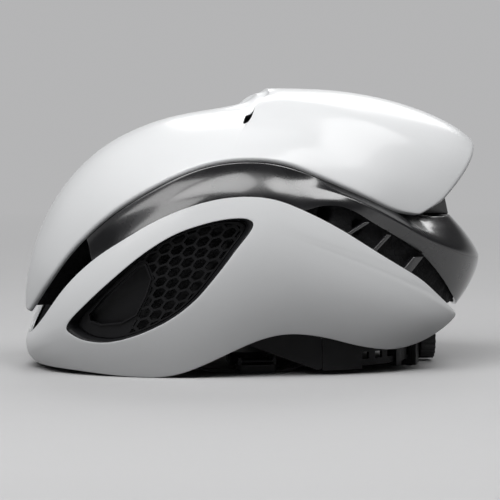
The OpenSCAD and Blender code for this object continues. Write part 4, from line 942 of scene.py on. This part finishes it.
def dress(obj, slot, edge):
    """Rounds a CAD node's edges and gives it its finish. Its own mesh stays as it is."""
    shade_smooth(obj.data)
    weld = obj.modifiers.new("Join", "WELD")
    weld.merge_threshold = MERGE
    flat = obj.modifiers.new("Flat faces", "DECIMATE")
    flat.decimate_type, flat.angle_limit = "DISSOLVE", math.radians(0.6)
    round_edges(obj, edge, 2, 35)
    level_normals(obj)
    obj.data.materials.clear()
    obj.data.materials.append(finish_of(slot))


# Widths of rounded edges
EDGE = {"left_vent_grille": 0.0003, "right_vent_grille": 0.0003, "left_vent_fins": 0.0004,
        "right_vent_fins": 0.0004, "tail_strut": 0.0009, "dial_pinion": 0.0001, "dial_screw": 0.00015,
        "cover_screws": 0.00015, "latch_pins": 0.00015, "left_band": 0.00025, "right_band": 0.00025,
        "fit_dial": 0.0005, "cradle_housing": 0.0004, "housing_cover": 0.0004}
USUAL_EDGE = 0.00035


# ---------------------------------------------------------------- operators

class HELMET_OT_shells(bpy.types.Operator):
    """Make the two white shells and the band between them"""

    bl_idname = "helmet.shells"
    bl_label = "Shells"

    def execute(self, context):
        surfaces = Surfaces(context.scene.helmet_shape)
        upper_shell(surfaces)
        lower_shell(surfaces)
        vent_shade_ducts(surfaces)
        middle_band(surfaces)
        return {"FINISHED"}


class HELMET_OT_liner(bpy.types.Operator):
    """Make the two parts of the foam liner"""

    bl_idname = "helmet.liner"
    bl_label = "Liner"

    def execute(self, context):
        for node in ("upper_foam", "lower_foam"):
            liner(node, context.scene.helmet_shape.bead)
        return {"FINISHED"}


class HELMET_OT_pads(bpy.types.Operator):
    """Make the padded covers"""

    bl_idname = "helmet.pads"
    bl_label = "Pads"

    def execute(self, context):
        for node in ("brow_pad", "crown_pad", "left_side_pad", "right_side_pad"):
            pad(node, "helmet")
        pad("cradle_pads", "cradle")
        return {"FINISHED"}


class HELMET_OT_webbing(bpy.types.Operator):
    """Make the woven straps"""

    bl_idname = "helmet.webbing"
    bl_label = "Webbing"

    def execute(self, context):
        for route in ROUTES:
            for side in ("left", "right"):
                node = f"{side}_{route}_strap"
                obj = strap(route, node + "_weave", side == "right")
                if node == "right_chin_strap":
                    complete(obj, None, "webbing", node)
                    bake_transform(obj)
                else:
                    complete(obj, "helmet", "webbing", node)
        return {"FINISHED"}


class HELMET_OT_hardware(bpy.types.Operator):
    """Round and finish the moulded and metal parts that the frame brings"""

    bl_idname = "helmet.hardware"
    bl_label = "Hardware"

    def execute(self, context):
        slots = {p["node"]: p["material_slot"] for p in frame["record"]["subparts"]}
        for name, obj in frame["nodes"].items():
            if not obj.hide_render:
                dress(obj, slots[name], EDGE.get(name, USUAL_EDGE))
        return {"FINISHED"}


# ---------------------------------------------------------------- stage

FLOOR_HALF, FLOOR_UNDER = 6, 0.0003
# Share of its colour that the floor gives back as light, so that it doesn't light the helmet from below, and the
# share that is seen
FLOOR_LIT, FLOOR_SEEN = 0.15, 1.02
# Distances between which the floor turns into the backdrop, so that no edge is seen
FADE_FROM, FADE_UNTIL = 0.45, 1.5
# Heights of a ray's direction between which the backdrop turns dim, as a studio is above its lit wall
DIM_FROM, DIM_UNTIL, DIM = 0.06, 0.3, 0.15
WORLD_LIGHT = 0.05
# Each lamp's place, width, depth and power
LAMPS = {
    "overhead_lamp": ((0.8, -0.8, 1.8), 1.1, 0.8, 16),
    "key_lamp": ((-0.6, -0.8, 1.8), 1.9, 0.9, 25),
    "front_lamp": ((-1.4, -1.2, 1.25), 1.2, 0.9, 11),
    "far_lamp": ((0.5, 1.6, 1.5), 1.6, 1.0, 16),
}
LAMP_AIM = Vector((0, 0, 0.1))


def make_floor(stage):
    """A plain floor just under the helmet."""
    bm = bmesh.new()
    bmesh.ops.create_grid(bm, x_segments=1, y_segments=1, size=FLOOR_HALF)
    bmesh.ops.translate(bm, verts=bm.verts, vec=(0, 0, -FLOOR_UNDER))
    floor = object_of(bm, "floor", smooth=False)
    f = Finish("finish_floor")
    shown = f.spread(f.seen(), 0, f.spread(f.noise(3, 2), 0.95, 1))
    f.shade(base_color=f.tint(shown, times(stage.floor, FLOOR_LIT), times(stage.floor, FLOOR_SEEN)),
            roughness=f.spread(f.noise(40, 3), 0.75, 0.9))
    f.shade(specular_ior_level=0.1)
    far = f.node("VectorMath", {0: f.where["Object"]}, operation="LENGTH").outputs["Value"]
    backdrop = f.node("Emission", {"Color": (*stage.backdrop, 1)})
    mixed = f.node("MixShader", {0: f.maths("MULTIPLY", f.spread(far, 0, 1, FADE_FROM, FADE_UNTIL), f.seen()),
                                 1: f.surface.outputs["BSDF"], 2: backdrop.outputs["Emission"]})
    f.feed(f.tree.nodes["Material Output"], "Surface", mixed.outputs[0])
    floor.data.materials.append(f.material)


def area_lamp(name, at, width, depth, power):
    data = bpy.data.lights.new(name, "AREA")
    data.shape, data.size, data.size_y, data.energy = "RECTANGLE", width, depth, power
    lamp = linked(name, data)
    lamp.location = at
    lamp.rotation_euler = (LAMP_AIM - Vector(at)).to_track_quat("-Z", "Y").to_euler()


def make_backdrop(stage):
    """A plain backdrop that is seen and mirrored, and hardly lights the helmet."""
    world = bpy.data.worlds.new("backdrop")
    bpy.context.scene.world = world
    world.use_nodes = True
    w = Nodes(world.node_tree)
    light = w.tree.nodes["Background"]
    w.feed(light, "Color", (1, 1, 1, 1))
    w.feed(light, "Strength", WORLD_LIGHT)
    height = w.node("SeparateXYZ", {0: w.node("TexCoord").outputs["Generated"]}).outputs["Z"]
    colour = w.tint(w.spread(height, 0, 1, DIM_FROM, DIM_UNTIL), stage.backdrop, times(stage.backdrop, DIM))
    shown = w.node("Background", {"Color": colour})
    choice = w.node("MixShader", {0: w.seen(), 1: light.outputs[0], 2: shown.outputs[0]})
    w.feed(w.tree.nodes["World Output"], "Surface", choice.outputs[0])


def make_camera(stage):
    data = bpy.data.cameras.new("camera")
    data.lens = stage.lens
    camera = linked("camera", data)
    az, el = stage.azimuth, stage.elevation
    back = Vector((math.sin(az) * math.cos(el), -math.cos(az) * math.cos(el), math.sin(el)))
    camera.location = Vector(stage.aim) + back * stage.distance
    camera.rotation_euler = back.to_track_quat("Z", "Y").to_euler()
    bpy.context.scene.camera = camera


class HELMET_OT_stage(bpy.types.Operator):
    """Make the floor, the lamps, the backdrop and the camera"""

    bl_idname = "helmet.stage"
    bl_label = "Stage"

    def execute(self, context):
        stage = context.scene.helmet_stage
        make_floor(stage)
        for name, lamp in LAMPS.items():
            area_lamp(name, *lamp)
        make_backdrop(stage)
        make_camera(stage)
        context.scene.view_settings.view_transform = "Standard"
        return {"FINISHED"}


# ---------------------------------------------------------------- panel and run

class HELMET_PT_panel(bpy.types.Panel):
    """The helmet's pieces and settings"""

    bl_label = "Bike Helmet"
    bl_idname = "HELMET_PT_panel"
    bl_space_type = "VIEW_3D"
    bl_region_type = "UI"
    bl_category = "Helmet"

    def draw(self, context):
        for operator in OPERATORS:
            self.layout.operator(operator.bl_idname)
        for group in GROUPS:
            settings = getattr(context.scene, group)
            for key in settings.__annotations__:
                self.layout.prop(settings, key)


GROUPS = {"helmet_shape": HelmetShape, "helmet_finish": HelmetFinish, "helmet_stage": HelmetStage}
OPERATORS = [HELMET_OT_shells, HELMET_OT_liner, HELMET_OT_pads, HELMET_OT_webbing, HELMET_OT_hardware,
             HELMET_OT_stage]


def register():
    for c in [*GROUPS.values(), *OPERATORS, HELMET_PT_panel]:
        bpy.utils.register_class(c)
    for name, c in GROUPS.items():
        setattr(bpy.types.Scene, name, bpy.props.PointerProperty(type=c))


def unregister():
    for name in GROUPS:
        delattr(bpy.types.Scene, name)
    for c in reversed([*GROUPS.values(), *OPERATORS, HELMET_PT_panel]):
        bpy.utils.unregister_class(c)


def main():
    register()
    bpy.ops.helmet.shells()
    bpy.ops.helmet.liner()
    bpy.ops.helmet.pads()
    bpy.ops.helmet.webbing()
    bpy.ops.helmet.hardware()
    bpy.ops.helmet.stage()


if __name__ == "__main__":
    main()
